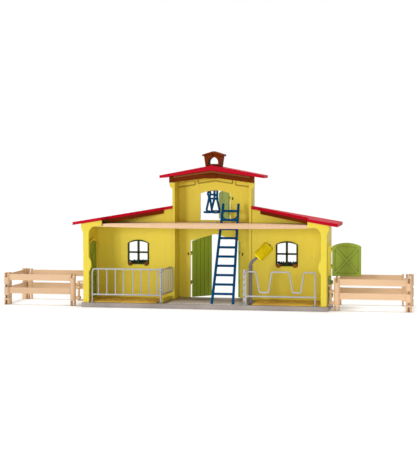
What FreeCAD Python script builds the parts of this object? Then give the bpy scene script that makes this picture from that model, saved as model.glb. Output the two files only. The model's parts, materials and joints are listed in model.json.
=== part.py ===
import FreeCAD, Part
import math
import os
import Sketcher

# Driving sizes in millimetres, and in degrees where the name ends in angle
SIZES = {
    # Building plan: half widths from the middle, depths from the open front
    "barn_half": 245,
    "wing_depth": 102,
    "bay_half": 82,
    "bay_depth": 41,
    "wall": 3,
    "bay_wall": 5,
    "bay_rib": 2,
    # Base tray
    "base_high": 9,
    "base_lip": 3,
    "base_rim": 4,
    "base_skin": 2.5,
    "base_rib": 2,
    "mat_high": 2,
    "mat_from_bay": 15,
    "mat_front": 12,
    "curb_wide": 5,
    "curb_high": 7,
    "curb_front": 15,
    "curb_back": 4,
    # Side doorways and front posts
    "doorway_front": 27,
    "doorway_back": 16,
    "doorway_sill": 4,
    "doorway_spring": 124,
    "doorway_rise": 7,
    "surround_wide": 5,
    "surround_deep": 4,
    "surround_rise": 12,
    "post_wide": 11.4,
    "post_deep": 6,
    "lug_low": 72,
    "lug_tall": 28,
    "lug_out": 5,
    "bracket_reach": 38,
    "bracket_under": 2,
    "bracket_curve": 11,
    "bracket_drop": 15,
    "bracket_sag": 2.5,
    "flare_out": 4,
    "flare_drop": 15,
    "flare_high": 8,
    # Windows and flower boxes
    "window_from_bay": 72.5,
    "window_half": 22.5,
    "window_sill": 80,
    "window_high": 44,
    "window_rise": 7,
    "frame_wide": 3,
    "frame_proud": 1,
    "mullion": 2.6,
    "mullion_up": 25,
    "box_half": 26,
    "box_high": 12,
    "box_deep": 15,
    "box_wall": 1.6,
    "box_drop": 0.5,
    "hook_inset": 0.5,
    "hook_wide": 4,
    "hook_thick": 1.5,
    "hook_down": 3,
    "bush_radius": 5.4,
    "bush_pitch": 6,
    # Loft
    "loft_top": 167,
    "loft_thick": 4,
    "lip_thick": 3,
    "lip_high": 4.6,
    "lip_bow": 3,
    "ledge_high": 4,
    "ledge_deep": 4,
    "hatch_side": 4.3,
    "hatch_near": 10.7156,
    "hatch_far": 14.2844,
    # Wing roofs
    "eave_side": 21,
    "roof_thick": 6,
    "tip_drop": 2,
    "wing_rise": 31,
    "eave_front": 3,
    "eave_back": 12,
    "strip_back": 42,
    "cap_wide": 15,
    "cap_back": 4,
    "beam_high": 7,
    "beam_thick": 5,
    "beam_set": 1,
    "beam_end": 4,
    # Tower roof, fascia and dovecote
    "gable_half": 108,
    "gable_fall": 15.8,
    "gable_tip_thick": 5.5,
    "ridge_low": 274.4,
    "ridge_thick": 10.1,
    "gable_front": 6,
    "gable_back": 9,
    "fascia_thick": 3.5,
    "fascia_bow": 11,
    "fascia_high": 14.4,
    "corbel_out": 6,
    "corbel_high": 13,
    "corbel_step": 6,
    "corbel_deep": 4,
    "cote_foot_half": 15.5,
    "cote_top_half": 19,
    "cote_deep": 30,
    "cote_from_facade": 16,
    "cote_high": 25.5,
    "cote_eave": 3,
    "cote_roof_thick": 3.5,
    "cote_slope_angle": 17,
    "cote_hole_half": 10.5,
    "cote_sill_up": 3,
    "cote_hole_high": 3.5,
    "cote_eye_drop": 5,
    "cote_eye_radius": 1.6,
    # Facade doorways
    "main_half": 52.5,
    "main_jamb": 127.3,
    "main_rise": 14.7,
    "loft_door_half": 31.5,
    "loft_sill": 4,
    "loft_door_high": 55,
    "loft_door_rise": 6.4,
    "slot_wide": 2.5,
    "slot_high": 6,
    "slot_out": 4.7,
    "main_slot_drop": 26.8,
    "loft_slot_drop": 10,
    "panel_deep": 1.2,
    "panel_gap": 3.5,
    "panel_mid_half": 36,
    "panel_drop": 13,
    "panel_high": 8.5,
    "board_pitch": 16,
    "board_groove": 1,
    "board_groove_deep": 0.6,
    # Doors and their hinges
    "leaf_thick": 3,
    "leaf_gap": 0.8,
    "leaf_border": 5,
    "leaf_relief": 1,
    "brace_wide": 4.5,
    "split_height": 63,
    "plank_groove": 1,
    "plank_groove_deep": 0.6,
    "pin_radius": 1.2,
    "pin_clearance": 0.06,
    "knuckle_room": 0.4,
    "knuckle_radius": 2.4,
    "knuckle_high": 4,
    "knuckle_gap": 0.2,
    "strap_thick": 1.6,
    "strap_long": 11,
    "ear_long": 9,
    "main_hinge_foot": 31,
    "main_hinge_top": 26.3,
    "side_hinge_foot": 11,
    "side_hinge_under": 13,
    "side_hinge_over": 19,
    "side_hinge_top": 8,
    "loft_hinge_foot": 13,
    "loft_hinge_top": 10,
    "main_left_angle": 50,
    "main_right_angle": 100,
    "side_open_angle": 90,
    "loft_open_angle": 62,
    # Ladder
    "ladder_mid": 36.5,
    "ladder_foot": 14,
    "ladder_lean_angle": 27.9,
    "ladder_long": 222,
    "ladder_foot_half": 23.7,
    "ladder_top_half": 18,
    "stile_wide": 4.5,
    "stile_thick": 5,
    "rung_high": 4,
    "rung_thick": 3,
    "rung_pitch": 20.4,
    # Tubular fences in the stalls
    "fence_y": 6,
    "tube_radius": 1.6,
    "bar_radius": 1.2,
    "foot_radius": 4,
    "foot_high": 1.5,
    "pen_inset": 17,
    "pen_from_bay": 5,
    "pen_top": 77,
    "pen_low": 25.5,
    "pen_bend": 7,
    "pen_post_radius": 2,
    "pen_post_over": 4,
    "gate_long": 85,
    "gate_set": 6,
    "gate_up": 1,
    "gate_down": 1,
    "gate_ring_foot": 7.5,
    "gate_ring_top": 10,
    "gate_ring_tall": 5,
    "gate_ring_radius": 3.6,
    "gate_swing_angle": 4,
    "feed_from_bay": 3.3,
    "feed_inset": 23.1,
    "feed_top": 75.5,
    "feed_dip": 35,
    "feed_low": 27,
    "feed_end_over": 4.5,
    "feed_end_wide": 5,
    "feed_end_thick": 3,
    "feed_slot_wide": 2,
    "feed_slot_high": 5,
    "feed_bend": 4,
    # Cow brush
    "brush_from_bay": 10,
    "brush_y": 21,
    "brush_post_radius": 3.5,
    "brush_post_high": 62,
    "brush_pin_radius": 1.8,
    "brush_pin_high": 12,
    "sleeve_radius": 4,
    "sleeve_cap": 3,
    "arm_radius": 2.2,
    "neck_long": 2,
    "brush_lean_angle": 44,
    "arm_long": 21,
    "spindle_radius": 1.5,
    "roller_long": 33,
    "roller_radius": 11.5,
    "roller_gap": 0.4,
    "cap_radius": 2.6,
    "cap_high": 1.5,
    # Hoist
    "boom_x": 3.5,
    "boom_wide": 4,
    "boom_high": 5,
    "boom_long": 13,
    "boom_over": 5.1,
    "hoist_gap": 1,
    "hoist_pin_radius": 1.3,
    "hoist_eye_radius": 3.2,
    "hoist_eye_wide": 4,
    "hoist_rod_radius": 1.5,
    "hoist_half": 9.5,
    "hoist_neck_drop": 7.2,
    "hoist_link_drop": 15.5,
    "hoist_knot_drop": 24.5,
    "hoist_bar_drop": 51.5,
    "hoist_spread": 15,
    "hoist_bar_end": 2,
    # Paddock fences
    "clip_gap": 1.4,
    "clip_gap_left": 10.4,
    "clip_y": 20,
    "clip_rod_radius": 2.4,
    "clip_under": 1,
    "clip_over": 7,
    "lug_thick": 3,
    "lug_half": 3.4,
    "paddock_post_radius": 5.8,
    "post_over": 2.4,
    "fork_wide": 4.5,
    "fork_deep": 9,
    "foot_notch_deep": 10,
    "rail_thick": 4,
    "rail_high": 12.4,
    "rail_up": 4,
    "rail_over": 9.2,
    "ring_low": 14,
    "ring_up": 0.6,
    "ring_tall": 5,
    "ring_radius": 4.6,
    "ring_gap": 0.3,
    "ring_mouth": 3.6,
    "post_gap": 0.6,
    "front_panel_long": 152,
    "side_panel_long": 115,
    "back_panel_long": 146,
}

# Places along the feed fence from its left post to its right post, as shares of its length
FEED_SHARES = (0.14, 0.195, 0.33, 0.375, 0.625, 0.68, 0.795, 0.84)

# Heights of the slots in the feed fence's end post, as shares of its height
FEED_SLOT_SHARES = (0.08, 0.24, 0.4, 0.56, 0.72, 0.88)

BASE_RIB_SHARES = (-0.85, -0.6, -0.33, 0, 0.33, 0.6, 0.85)
PLANK_SHARES = (0.2, 0.4, 0.6, 0.8)
PEN_BAR_SHARES = (0.09, 0.215, 0.34, 0.455, 0.595, 0.715, 0.835, 0.945)
GATE_BAR_SHARES = (0.2, 0.4, 0.6, 0.8)
BUSH_STEPS = range(-3, 4)
BUSH_SHARE = 0.8
RUNG_STEPS = range(1, 11)
SIDES = (("left", -1), ("right", 1))

doc = FreeCAD.newDocument("ToyBarn")
sheet = doc.addObject("Spreadsheet::Sheet", "Sizes")
for row, (alias, number) in enumerate(SIZES.items(), start=1):
    sheet.set(f"A{row}", alias)
    sheet.set(f"B{row}", str(number))
    sheet.setAlias(f"B{row}", alias)
doc.recompute()


class Size:
    """A number together with the sheet expression that gives it."""

    def __init__(self, value, text):
        self.value = float(value)
        self.text = text

    def __add__(self, other):
        other = sized(other)
        return Size(self.value + other.value, f"({self.text} + {other.text})")

    def __sub__(self, other):
        other = sized(other)
        return Size(self.value - other.value, f"({self.text} - {other.text})")

    def __mul__(self, other):
        other = sized(other)
        return Size(self.value * other.value, f"({self.text} * {other.text})")

    def __truediv__(self, other):
        other = sized(other)
        return Size(self.value / other.value, f"({self.text} / {other.text})")

    def __neg__(self):
        return Size(-self.value, f"(0 - {self.text})")


def sized(number):
    if isinstance(number, Size):
        return number
    return Size(number, f"({number})")


def root(area):
    return Size(math.sqrt(area.value), f"sqrt({area.text})")


def sine(angle):
    return Size(math.sin(math.radians(angle.value)), f"sin({angle.text})")


def cosine(angle):
    return Size(math.cos(math.radians(angle.value)), f"cos({angle.text})")


class Sheet:
    """Every driving size by its alias."""


S = Sheet()
for alias, number in SIZES.items():
    setattr(S, alias, Size(number, f"Sizes.{alias}"))

ZERO = sized(0)


def bind(obj, **sizes):
    for name, size in sizes.items():
        obj.setExpression(name, sized(size).text)


def place(obj, x, y, z):
    for axis, size in zip("xyz", (x, y, z)):
        obj.setExpression(f"Placement.Base.{axis}", sized(size).text)
    return obj


def turn(obj, axis, angle):
    """Sets a rotation about an axis by an angle that the sheet drives."""
    obj.Placement = FreeCAD.Placement(FreeCAD.Vector(), FreeCAD.Rotation(axis, sized(angle).value))
    obj.setExpression("Placement.Rotation.Angle", sized(angle).text)
    return obj


def block(x, y, z):
    """A box between two stations on each axis."""
    box = doc.addObject("Part::Box", "Block")
    lows = []
    for name, ends in (("Length", x), ("Width", y), ("Height", z)):
        low, high = sorted((sized(end) for end in ends), key=lambda end: end.value)
        bind(box, **{name: high - low})
        lows.append(low)
    return place(box, *lows)


ROD_TURNS = {
    "x": FreeCAD.Rotation(FreeCAD.Vector(0, 1, 0), 90),
    "y": FreeCAD.Rotation(FreeCAD.Vector(1, 0, 0), -90),
    "z": FreeCAD.Rotation(),
}


def rod(axis, start, length, radius):
    """A cylinder that runs up one axis from its start."""
    cylinder = doc.addObject("Part::Cylinder", "Rod")
    cylinder.Placement = FreeCAD.Placement(FreeCAD.Vector(), ROD_TURNS[axis])
    bind(cylinder, Height=length, Radius=radius)
    return place(cylinder, *start)


def strut(start, end, y, radius):
    """A cylinder between two points (x, z) in an upright plane across the barn."""
    run = end[0] - start[0]
    rise = end[1] - start[1]
    cylinder = doc.addObject("Part::Cylinder", "Strut")
    angle = Size(math.degrees(math.atan2(run.value, rise.value)), f"atan2({run.text}; {rise.text})")
    turn(cylinder, FreeCAD.Vector(0, 1, 0), angle)
    bind(cylinder, Height=root(run * run + rise * rise), Radius=radius)
    return place(cylinder, start[0], y, start[1])


def ball(x, y, z, radius):
    sphere = doc.addObject("Part::Sphere", "Ball")
    bind(sphere, Radius=radius)
    return place(sphere, x, y, z)


def fuse(*shapes):
    joined = doc.addObject("Part::MultiFuse", "Joined")
    joined.Shapes = list(shapes)
    joined.Refine = True
    return joined


def cut(shape, *tools):
    result = doc.addObject("Part::Cut", "Trimmed")
    result.Base = shape
    result.Tool = tools[0] if len(tools) == 1 else fuse(*tools)
    return result


def common(shape, other):
    result = doc.addObject("Part::Common", "Shared")
    result.Base = shape
    result.Tool = other
    return result


def group(*shapes):
    result = doc.addObject("Part::Compound", "Group")
    result.Links = list(shapes)
    return result


def origin_plane(body, role):
    return next(item for item in body.Origin.OriginFeatures if item.Role == role)


def new_sketch(body, role):
    sketch = body.newObject("Sketcher::SketchObject", "Outline")
    sketch.AttachmentSupport = [(origin_plane(body, role), "")]
    sketch.MapMode = "FlatFace"
    return sketch


def pin_point(sketch, edge, end, u, v):
    for kind, size in (("DistanceX", u), ("DistanceY", v)):
        index = sketch.addConstraint(Sketcher.Constraint(kind, -1, 1, edge, end, size.value))
        sketch.setExpression(f"Constraints[{index}]", size.text)


def draw(sketch, points, closed=True):
    """Draws a chain of points. A third entry is the rise of an arc to the next point, to the left."""
    count = len(points)
    points = [tuple(sized(entry) for entry in point) for point in points]
    ends = []
    for index in range(count if closed else count - 1):
        here = points[index]
        following = points[(index + 1) % count]
        first = FreeCAD.Vector(here[0].value, here[1].value, 0)
        last = FreeCAD.Vector(following[0].value, following[1].value, 0)
        if len(here) == 2:
            edge = sketch.addGeometry(Part.LineSegment(first, last))
            ends.append((edge, 1, 2))
            continue
        run = following[0] - here[0]
        climb = following[1] - here[1]
        rise = here[2]
        chord = root(run * run + climb * climb)
        left = FreeCAD.Vector(-climb.value, run.value, 0) * (rise.value / chord.value)
        crown = (first + last) * 0.5 + left
        if rise.value < 0:
            edge = sketch.addGeometry(Part.Arc(first, crown, last))
            ends.append((edge, 1, 2))
        else:
            edge = sketch.addGeometry(Part.Arc(last, crown, first))
            ends.append((edge, 2, 1))
        shift = (rise * rise - chord * chord / 4) / (rise * 2) / chord
        if abs(run.value) >= abs(climb.value):
            kind = "DistanceY"
            centre = (here[1] + following[1]) / 2 + run * shift
        else:
            kind = "DistanceX"
            centre = (here[0] + following[0]) / 2 - climb * shift
        bound = sketch.addConstraint(Sketcher.Constraint(kind, -1, 1, edge, 3, centre.value))
        sketch.setExpression(f"Constraints[{bound}]", centre.text)
    for (edge, start, _), point in zip(ends, points):
        pin_point(sketch, edge, start, point[0], point[1])
    if not closed:
        pin_point(sketch, ends[-1][0], ends[-1][2], points[-1][0], points[-1][1])
    for index in range(len(ends) if closed else len(ends) - 1):
        edge, _, end = ends[index]
        next_edge, start, _ = ends[(index + 1) % len(ends)]
        sketch.addConstraint(Sketcher.Constraint("Coincident", edge, end, next_edge, start))
    return [edge for edge, _, _ in ends]


def prism(plane, loops, start, end):
    """A plate with an outline and holes in one plane, between two stations on the axis across it."""
    body = doc.addObject("PartDesign::Body", "Plate")
    sketch = new_sketch(body, f"{plane}_Plane")
    for loop in loops:
        draw(sketch, loop)
    pad = body.newObject("PartDesign::Pad", "Pad")
    pad.Profile = sketch
    pad.Reversed = plane == "XZ"
    start = sized(start)
    bind(pad, Length=sized(end) - start)
    stations = {"XY": (ZERO, ZERO, start), "XZ": (ZERO, start, ZERO), "YZ": (start, ZERO, ZERO)}
    return place(body, *stations[plane])


def rounded(points, bend, closed=False):
    """The points of a path with each inner corner turned into an arc of one bend radius."""
    points = [tuple(sized(entry) for entry in point) for point in points]
    count = len(points)
    result = []
    for index, corner in enumerate(points):
        if not closed and index in (0, count - 1):
            result.append(corner)
            continue
        before = points[index - 1]
        after = points[(index + 1) % count]
        back = (before[0] - corner[0], before[1] - corner[1])
        ahead = (after[0] - corner[0], after[1] - corner[1])
        back_long = root(back[0] * back[0] + back[1] * back[1])
        ahead_long = root(ahead[0] * ahead[0] + ahead[1] * ahead[1])
        facing = (back[0] * ahead[0] + back[1] * ahead[1]) / (back_long * ahead_long)
        reach = bend * root((facing + 1) / (sized(1) - facing))
        first = (corner[0] + back[0] * reach / back_long, corner[1] + back[1] * reach / back_long)
        last = (corner[0] + ahead[0] * reach / ahead_long, corner[1] + ahead[1] * reach / ahead_long)
        turns_left = ahead[0].value * back[1].value - ahead[1].value * back[0].value > 0
        sagitta = bend - bend * root((sized(1) - facing) / 2)
        result.append((first[0], first[1], -sagitta if turns_left else sagitta))
        result.append(last)
    return result


def tube(plane, points, bend, radius, closed=False):
    """A bent tube along a path that starts upright at height zero of its own body."""
    body = doc.addObject("PartDesign::Body", "Tube")
    path = new_sketch(body, f"{plane}_Plane")
    edges = draw(path, rounded(points, bend, closed), closed)
    profile = new_sketch(body, "XY_Plane")
    start = tuple(sized(entry) for entry in points[0])
    centre = (start[0], ZERO) if plane == "XZ" else (ZERO, start[0])
    middle = FreeCAD.Vector(centre[0].value, centre[1].value, 0)
    profile.addGeometry(Part.Circle(middle, FreeCAD.Vector(0, 0, 1), radius.value))
    pin_point(profile, 0, 3, *centre)
    index = profile.addConstraint(Sketcher.Constraint("Radius", 0, radius.value))
    profile.setExpression(f"Constraints[{index}]", radius.text)
    doc.recompute()
    pipe = body.newObject("PartDesign::AdditivePipe", "Pipe")
    pipe.Profile = profile
    pipe.Spine = (path, [f"Edge{edge + 1}" for edge in range(len(edges))])
    return body


pieces = []


def piece(label, obj):
    obj.Label = label
    pieces.append(obj)
    return obj


# Stations shared by several pieces
front = -(S.wing_depth / 2)
wing_back = S.wing_depth / 2
inner_back = wing_back - S.wall
facade_out = wing_back + S.bay_depth
facade_in = facade_out - S.wall
bay_front = inner_back - S.bay_rib
bay_inner = S.bay_half - S.bay_wall
side_inner = S.barn_half - S.wall
post_back = front + S.post_deep
floor = S.base_high
doorway_low = front + S.doorway_front
doorway_high = wing_back - S.doorway_back
doorway_wide = doorway_high - doorway_low
loft_under = S.loft_top - S.loft_thick
loft_door_low = S.loft_top + S.loft_sill
loft_door_spring = loft_door_low + S.loft_door_high
roof_half = S.barn_half + S.eave_side
tip_low = S.loft_top - S.tip_drop
wing_slope = S.wing_rise / (roof_half - S.bay_half)
ridge_top = S.ridge_low + S.ridge_thick
tower_tip = S.ridge_low - S.gable_fall
gable_slope = S.gable_fall / S.gable_half
gable_top_slope = (ridge_top - tower_tip - S.gable_tip_thick) / S.gable_half
fascia_half = S.bay_half + S.corbel_out
fascia_low = S.ridge_low - S.fascia_high
fascia_end = fascia_low - S.fascia_bow
window_mid = S.bay_half + S.window_from_bay
window_spring = S.window_sill + S.window_high
pin_out = S.knuckle_radius + S.knuckle_room
hatch_half = S.ladder_foot_half + S.hatch_side
pen_left = S.barn_half - S.pen_inset
pen_right = S.bay_half + S.pen_from_bay


def wing_under(x):
    """Height of a wing roof's underside at a distance from the middle."""
    return tip_low + (roof_half - x) * wing_slope


def gable_under(x):
    """Height of the tower roof's underside at a distance from the middle."""
    return S.ridge_low - gable_slope * x


def gable_over(x):
    return ridge_top - gable_top_slope * x


def rectangle(u, v):
    return [(u[0], v[0]), (u[1], v[0]), (u[1], v[1]), (u[0], v[1])]


def arched(u, low, spring, rise):
    """An opening with upright sides and an arc between their tops."""
    left, right = sorted((sized(end) for end in u), key=lambda end: end.value)
    return [(left, low), (right, low), (right, spring, -rise), (left, spring)]


def board_grooves(axis, low, high, face, inward, z):
    """Cutters for the board lines on an outer wall face, between two stations along the wall."""
    span = high.value - low.value
    count = int(span // S.board_pitch.value)
    cutters = []
    for step in range(1, count + 1):
        middle = low + (high - low) * step / (count + 1)
        along = (middle - S.board_groove / 2, middle + S.board_groove / 2)
        across = (face, face + S.board_groove_deep * inward)
        cutters.append(block(along, across, z) if axis == "x" else block(across, along, z))
    return cutters


# Base tray: a T in plan, hollow below with ribs
def base_outline(inset):
    wide = S.barn_half + S.base_lip - inset
    narrow = S.bay_half + S.base_lip - inset
    near = front - S.base_lip + inset
    step = wing_back + S.base_lip - inset
    far = facade_out + S.base_lip - inset
    return [(-wide, near), (wide, near), (wide, step), (narrow, step),
            (narrow, far), (-narrow, far), (-narrow, step), (-wide, step)]


hollow_top = S.base_high - S.base_skin
rib_ends = (front - S.base_lip + S.base_rim, wing_back + S.base_lip - S.base_rim)
rib_half = S.base_rib / 2
tray = cut(prism("XY", [base_outline(ZERO)], 0, S.base_high),
           prism("XY", [base_outline(S.base_rim)], 0, hollow_top))
ribs = [block((S.barn_half * share - rib_half, S.barn_half * share + rib_half), rib_ends, (0, hollow_top))
        for share in BASE_RIB_SHARES]
long_half = S.barn_half + S.base_lip - S.base_rim
ribs.append(block((-long_half, long_half), (-rib_half, rib_half), (0, hollow_top)))
piece("base_plate", fuse(tray, *ribs))

# Straw mats in the stalls and the curb under the pen gate
for word, side in SIDES:
    mat_x = ((S.bay_half + S.mat_from_bay) * side, (side_inner - S.surround_deep) * side)
    piece(f"straw_mat_{word}", block(mat_x, (front + S.mat_front, inner_back), (floor, floor + S.mat_high)))
curb_x = (-pen_right - S.curb_wide / 2, -pen_right + S.curb_wide / 2)
curb_y = (front + S.curb_front, inner_back - S.curb_back)
piece("stall_curb", block(curb_x, curb_y, (floor, floor + S.curb_high)))


def ear(axis_x, axis_y, along, outward, height):
    """A wall knuckle under a hinge height, with the strap that ties it to the outer face."""
    low = height - S.knuckle_high
    if outward[0] == 0:
        strap_x = (axis_x, axis_x + S.ear_long * along[0])
        strap_y = (axis_y - pin_out * outward[1], axis_y - (pin_out - S.strap_thick) * outward[1])
    else:
        strap_x = (axis_x - pin_out * outward[0], axis_x - (pin_out - S.strap_thick) * outward[0])
        strap_y = (axis_y, axis_y + S.ear_long * along[1])
    return fuse(rod("z", (axis_x, axis_y, low), S.knuckle_high, S.knuckle_radius),
                block(strap_x, strap_y, (low, height)))


def hinge_pin(axis_x, axis_y, height):
    low = height - S.knuckle_high
    return rod("z", (axis_x, axis_y, low), S.knuckle_high * 2 + S.knuckle_gap, S.pin_radius)


side_heights = (
    floor + S.doorway_sill + S.side_hinge_foot,
    S.split_height - S.side_hinge_under,
    S.split_height + S.side_hinge_over,
    S.doorway_spring - S.side_hinge_top,
)
side_axis = S.barn_half + pin_out
bracket_low = tip_low - S.bracket_under
flare_low = tip_low - S.flare_drop

# Side walls with their front posts, door surrounds and hinge ears
for word, side in SIDES:
    doorway = arched((doorway_low, doorway_high), floor + S.doorway_sill, S.doorway_spring, S.doorway_rise)
    wall_top = wing_under(S.barn_half)
    plate_x = sorted((S.barn_half * side, side_inner * side), key=lambda end: end.value)
    plate = prism("YZ", [rectangle((front, wing_back), (floor, wall_top)), doorway], *plate_x)
    ring_y = (doorway_low - S.surround_wide, doorway_high + S.surround_wide)
    ring_x = sorted((side_inner * side, (side_inner - S.surround_deep) * side), key=lambda end: end.value)
    surround = prism("YZ", [arched(ring_y, floor, S.doorway_spring, S.surround_rise), doorway], *ring_x)
    post_inner = (S.barn_half - S.post_wide) * side
    reach = (S.barn_half - S.bracket_reach) * side
    elbow = post_inner - S.bracket_curve * side
    flare = (S.barn_half + S.flare_out) * side
    post = [
        (S.barn_half * side, floor),
        (post_inner, floor),
        (post_inner, S.lug_low, S.lug_out * side),
        (post_inner, S.lug_low + S.lug_tall),
        (post_inner, bracket_low - S.bracket_drop, S.bracket_sag * -side),
        (elbow, bracket_low),
        (reach, bracket_low),
        (reach, wing_under(S.barn_half - S.bracket_reach)),
        (flare, wing_under(S.barn_half + S.flare_out)),
        (flare, flare_low + S.flare_high),
        (S.barn_half * side, flare_low),
    ]
    ears = [ear(side_axis * side, doorway_high, (0, 1), (side, 0), height) for height in side_heights]
    pins = [hinge_pin(side_axis * side, doorway_high, height) for height in side_heights]
    pin_holes = [hinge_pin(side_axis * side, doorway_high, height) for height in side_heights]
    board_y = (doorway_high + S.ear_long, wing_back)
    grooves = board_grooves("y", *board_y, S.barn_half * side, -side, (floor, wall_top))
    boards = cut(plate, *grooves) if grooves else plate
    body = fuse(boards, surround, prism("XZ", [post], front, post_back), *ears)
    piece(f"side_wall_{word}", cut(body, *pin_holes))
    piece(f"side_door_pins_{word}", group(*pins))

# Wing back walls with windows and a ledge under the loft
for word, side in SIDES:
    outline = [(side_inner * side, floor), (S.bay_half * side, floor),
               (S.bay_half * side, wing_under(S.bay_half)), (side_inner * side, wing_under(side_inner))]
    window_ends = (window_mid * side - S.window_half, window_mid * side + S.window_half)
    window = arched(window_ends, S.window_sill, window_spring, S.window_rise)
    plate = prism("XZ", [outline, window], inner_back, wing_back)
    ends = sorted((side_inner * side, S.bay_half * side), key=lambda end: end.value)
    grooves = board_grooves("x", ends[0], ends[1], wing_back, -1, (floor, wing_under(S.bay_half)))
    ledge = block(ends, (inner_back - S.ledge_deep, inner_back), (loft_under - S.ledge_high, loft_under))
    piece(f"back_wall_{word}", fuse(cut(plate, *grooves), ledge))

# Tower side walls with a corbel under each end of the fascia
for word, side in SIDES:
    plank_x = (bay_inner * side, S.bay_half * side)
    plank = block(plank_x, (bay_front, facade_in), (floor, gable_under(S.bay_half)))
    corbel_low = fascia_end - S.corbel_high
    out = fascia_half * side
    corbel = [(bay_inner * side, corbel_low), (S.bay_half * side, corbel_low),
              (out, corbel_low + S.corbel_step), (out, fascia_end), (bay_inner * side, fascia_end)]
    piece(f"tower_wall_{word}", fuse(plank, prism("XZ", [corbel], bay_front, bay_front + S.corbel_deep)))

# Facade with the main doorway, the loft doorway, clip slots, raised bands and hinge ears
main_peak = S.main_jamb + S.main_rise
facade = [
    (-S.bay_half, floor),
    (-S.main_half, floor),
    (-S.main_half, S.main_jamb),
    (0, main_peak),
    (S.main_half, S.main_jamb),
    (S.main_half, floor),
    (S.bay_half, floor),
    (S.bay_half, gable_under(S.bay_half)),
    (0, S.ridge_low),
    (-S.bay_half, gable_under(S.bay_half)),
]
loft_door_x = (-S.loft_door_half, S.loft_door_half)
loft_doorway = arched(loft_door_x, loft_door_low, loft_door_spring, S.loft_door_rise)


def clip_slot(x, height):
    half_wide = S.slot_wide / 2
    half_high = S.slot_high / 2
    return rectangle((x - half_wide, x + half_wide), (height - half_high, height + half_high))


main_slot = S.main_jamb - S.main_slot_drop
slots = [clip_slot((S.main_half + S.slot_out) * side, main_slot) for _, side in SIDES]
slots.append(clip_slot(S.loft_door_half + S.slot_out, loft_door_spring - S.loft_slot_drop))
facade_plate = prism("XZ", [facade, loft_doorway, *slots], facade_in, facade_out)
panel_face = (facade_in - S.panel_deep, facade_in)
panel_low = fascia_low - S.panel_drop
panel_top = panel_low + gable_slope * S.panel_mid_half
middle_panel = [(-S.panel_mid_half, panel_low), (0, panel_top), (S.panel_mid_half, panel_low),
                (S.panel_mid_half, panel_low + S.panel_high), (0, panel_top + S.panel_high),
                (-S.panel_mid_half, panel_low + S.panel_high)]
panels = [prism("XZ", [middle_panel], *panel_face)]
for _, side in SIDES:
    near = S.panel_mid_half + S.panel_gap * 2
    near_low = panel_top - gable_slope * near - S.panel_gap / 2
    far_low = panel_top - gable_slope * bay_inner - S.panel_gap / 2
    outer_panel = [(near * side, near_low), (bay_inner * side, far_low),
                   (bay_inner * side, far_low + S.panel_high), (near * side, near_low + S.panel_high)]
    panels.append(prism("XZ", [outer_panel], *panel_face))
door_axis = facade_out + pin_out
main_heights = (floor + S.main_hinge_foot, S.main_jamb - S.main_hinge_top)
loft_heights = (loft_door_low + S.loft_hinge_foot, loft_door_spring - S.loft_hinge_top)
door_hinges = [(S.main_half * side, side, height) for _, side in SIDES for height in main_heights]
loft_hinges = [(S.loft_door_half, 1, height) for height in loft_heights]
ears = [ear(x, door_axis, (side, 0), (0, 1), height) for x, side, height in door_hinges + loft_hinges]
holes = [hinge_pin(x, door_axis, height) for x, _, height in door_hinges + loft_hinges]
board_z = (floor, S.ridge_low)
facade_boards = []
for _, side in SIDES:
    ends = sorted((S.bay_half * side, (S.main_half + S.ear_long) * side), key=lambda end: end.value)
    facade_boards += board_grooves("x", ends[0], ends[1], facade_out, -1, board_z)
piece("facade", cut(fuse(cut(facade_plate, *facade_boards), *panels, *ears), *holes))
piece("main_door_pins", group(*[hinge_pin(x, door_axis, height) for x, _, height in door_hinges]))
piece("loft_door_pins", group(*[hinge_pin(x, door_axis, height) for x, _, height in loft_hinges]))

# Loft floor with the ladder hatch and a bowed front lip
loft_plan = [
    (-side_inner, post_back),
    (side_inner, post_back),
    (side_inner, inner_back),
    (S.bay_half, inner_back),
    (S.bay_half, bay_front),
    (bay_inner, bay_front),
    (bay_inner, facade_in),
    (-bay_inner, facade_in),
    (-bay_inner, bay_front),
    (-S.bay_half, bay_front),
    (-S.bay_half, inner_back),
    (-side_inner, inner_back),
]
ladder_slope = sine(S.ladder_lean_angle) / cosine(S.ladder_lean_angle)
ladder_y = front + S.ladder_foot + (S.loft_top - floor) * ladder_slope
hatch = rectangle((S.ladder_mid - hatch_half, S.ladder_mid + hatch_half),
                  (ladder_y - S.hatch_near, ladder_y + S.hatch_far))
lip_low = S.loft_top - S.lip_high
lip = [(-side_inner, S.loft_top), (-side_inner, lip_low, -S.lip_bow),
       (side_inner, lip_low), (side_inner, S.loft_top)]
piece("loft_floor", fuse(prism("XY", [loft_plan, hatch], loft_under, S.loft_top),
                         prism("XZ", [lip], post_back, post_back + S.lip_thick)))

# Wing roofs, cut back to a diagonal front edge towards the tower, and the beams under that edge
roof_front = front - S.eave_front
strip_y = front + S.strip_back
strip_inner = S.barn_half - S.bracket_reach
cap_y = inner_back - S.cap_back
cap_x = S.bay_half + S.cap_wide


def diagonal(x):
    """Station of the diagonal roof edge at a distance from the middle."""
    return cap_y + (strip_y - cap_y) * (x - cap_x) / (strip_inner - cap_x)


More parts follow.
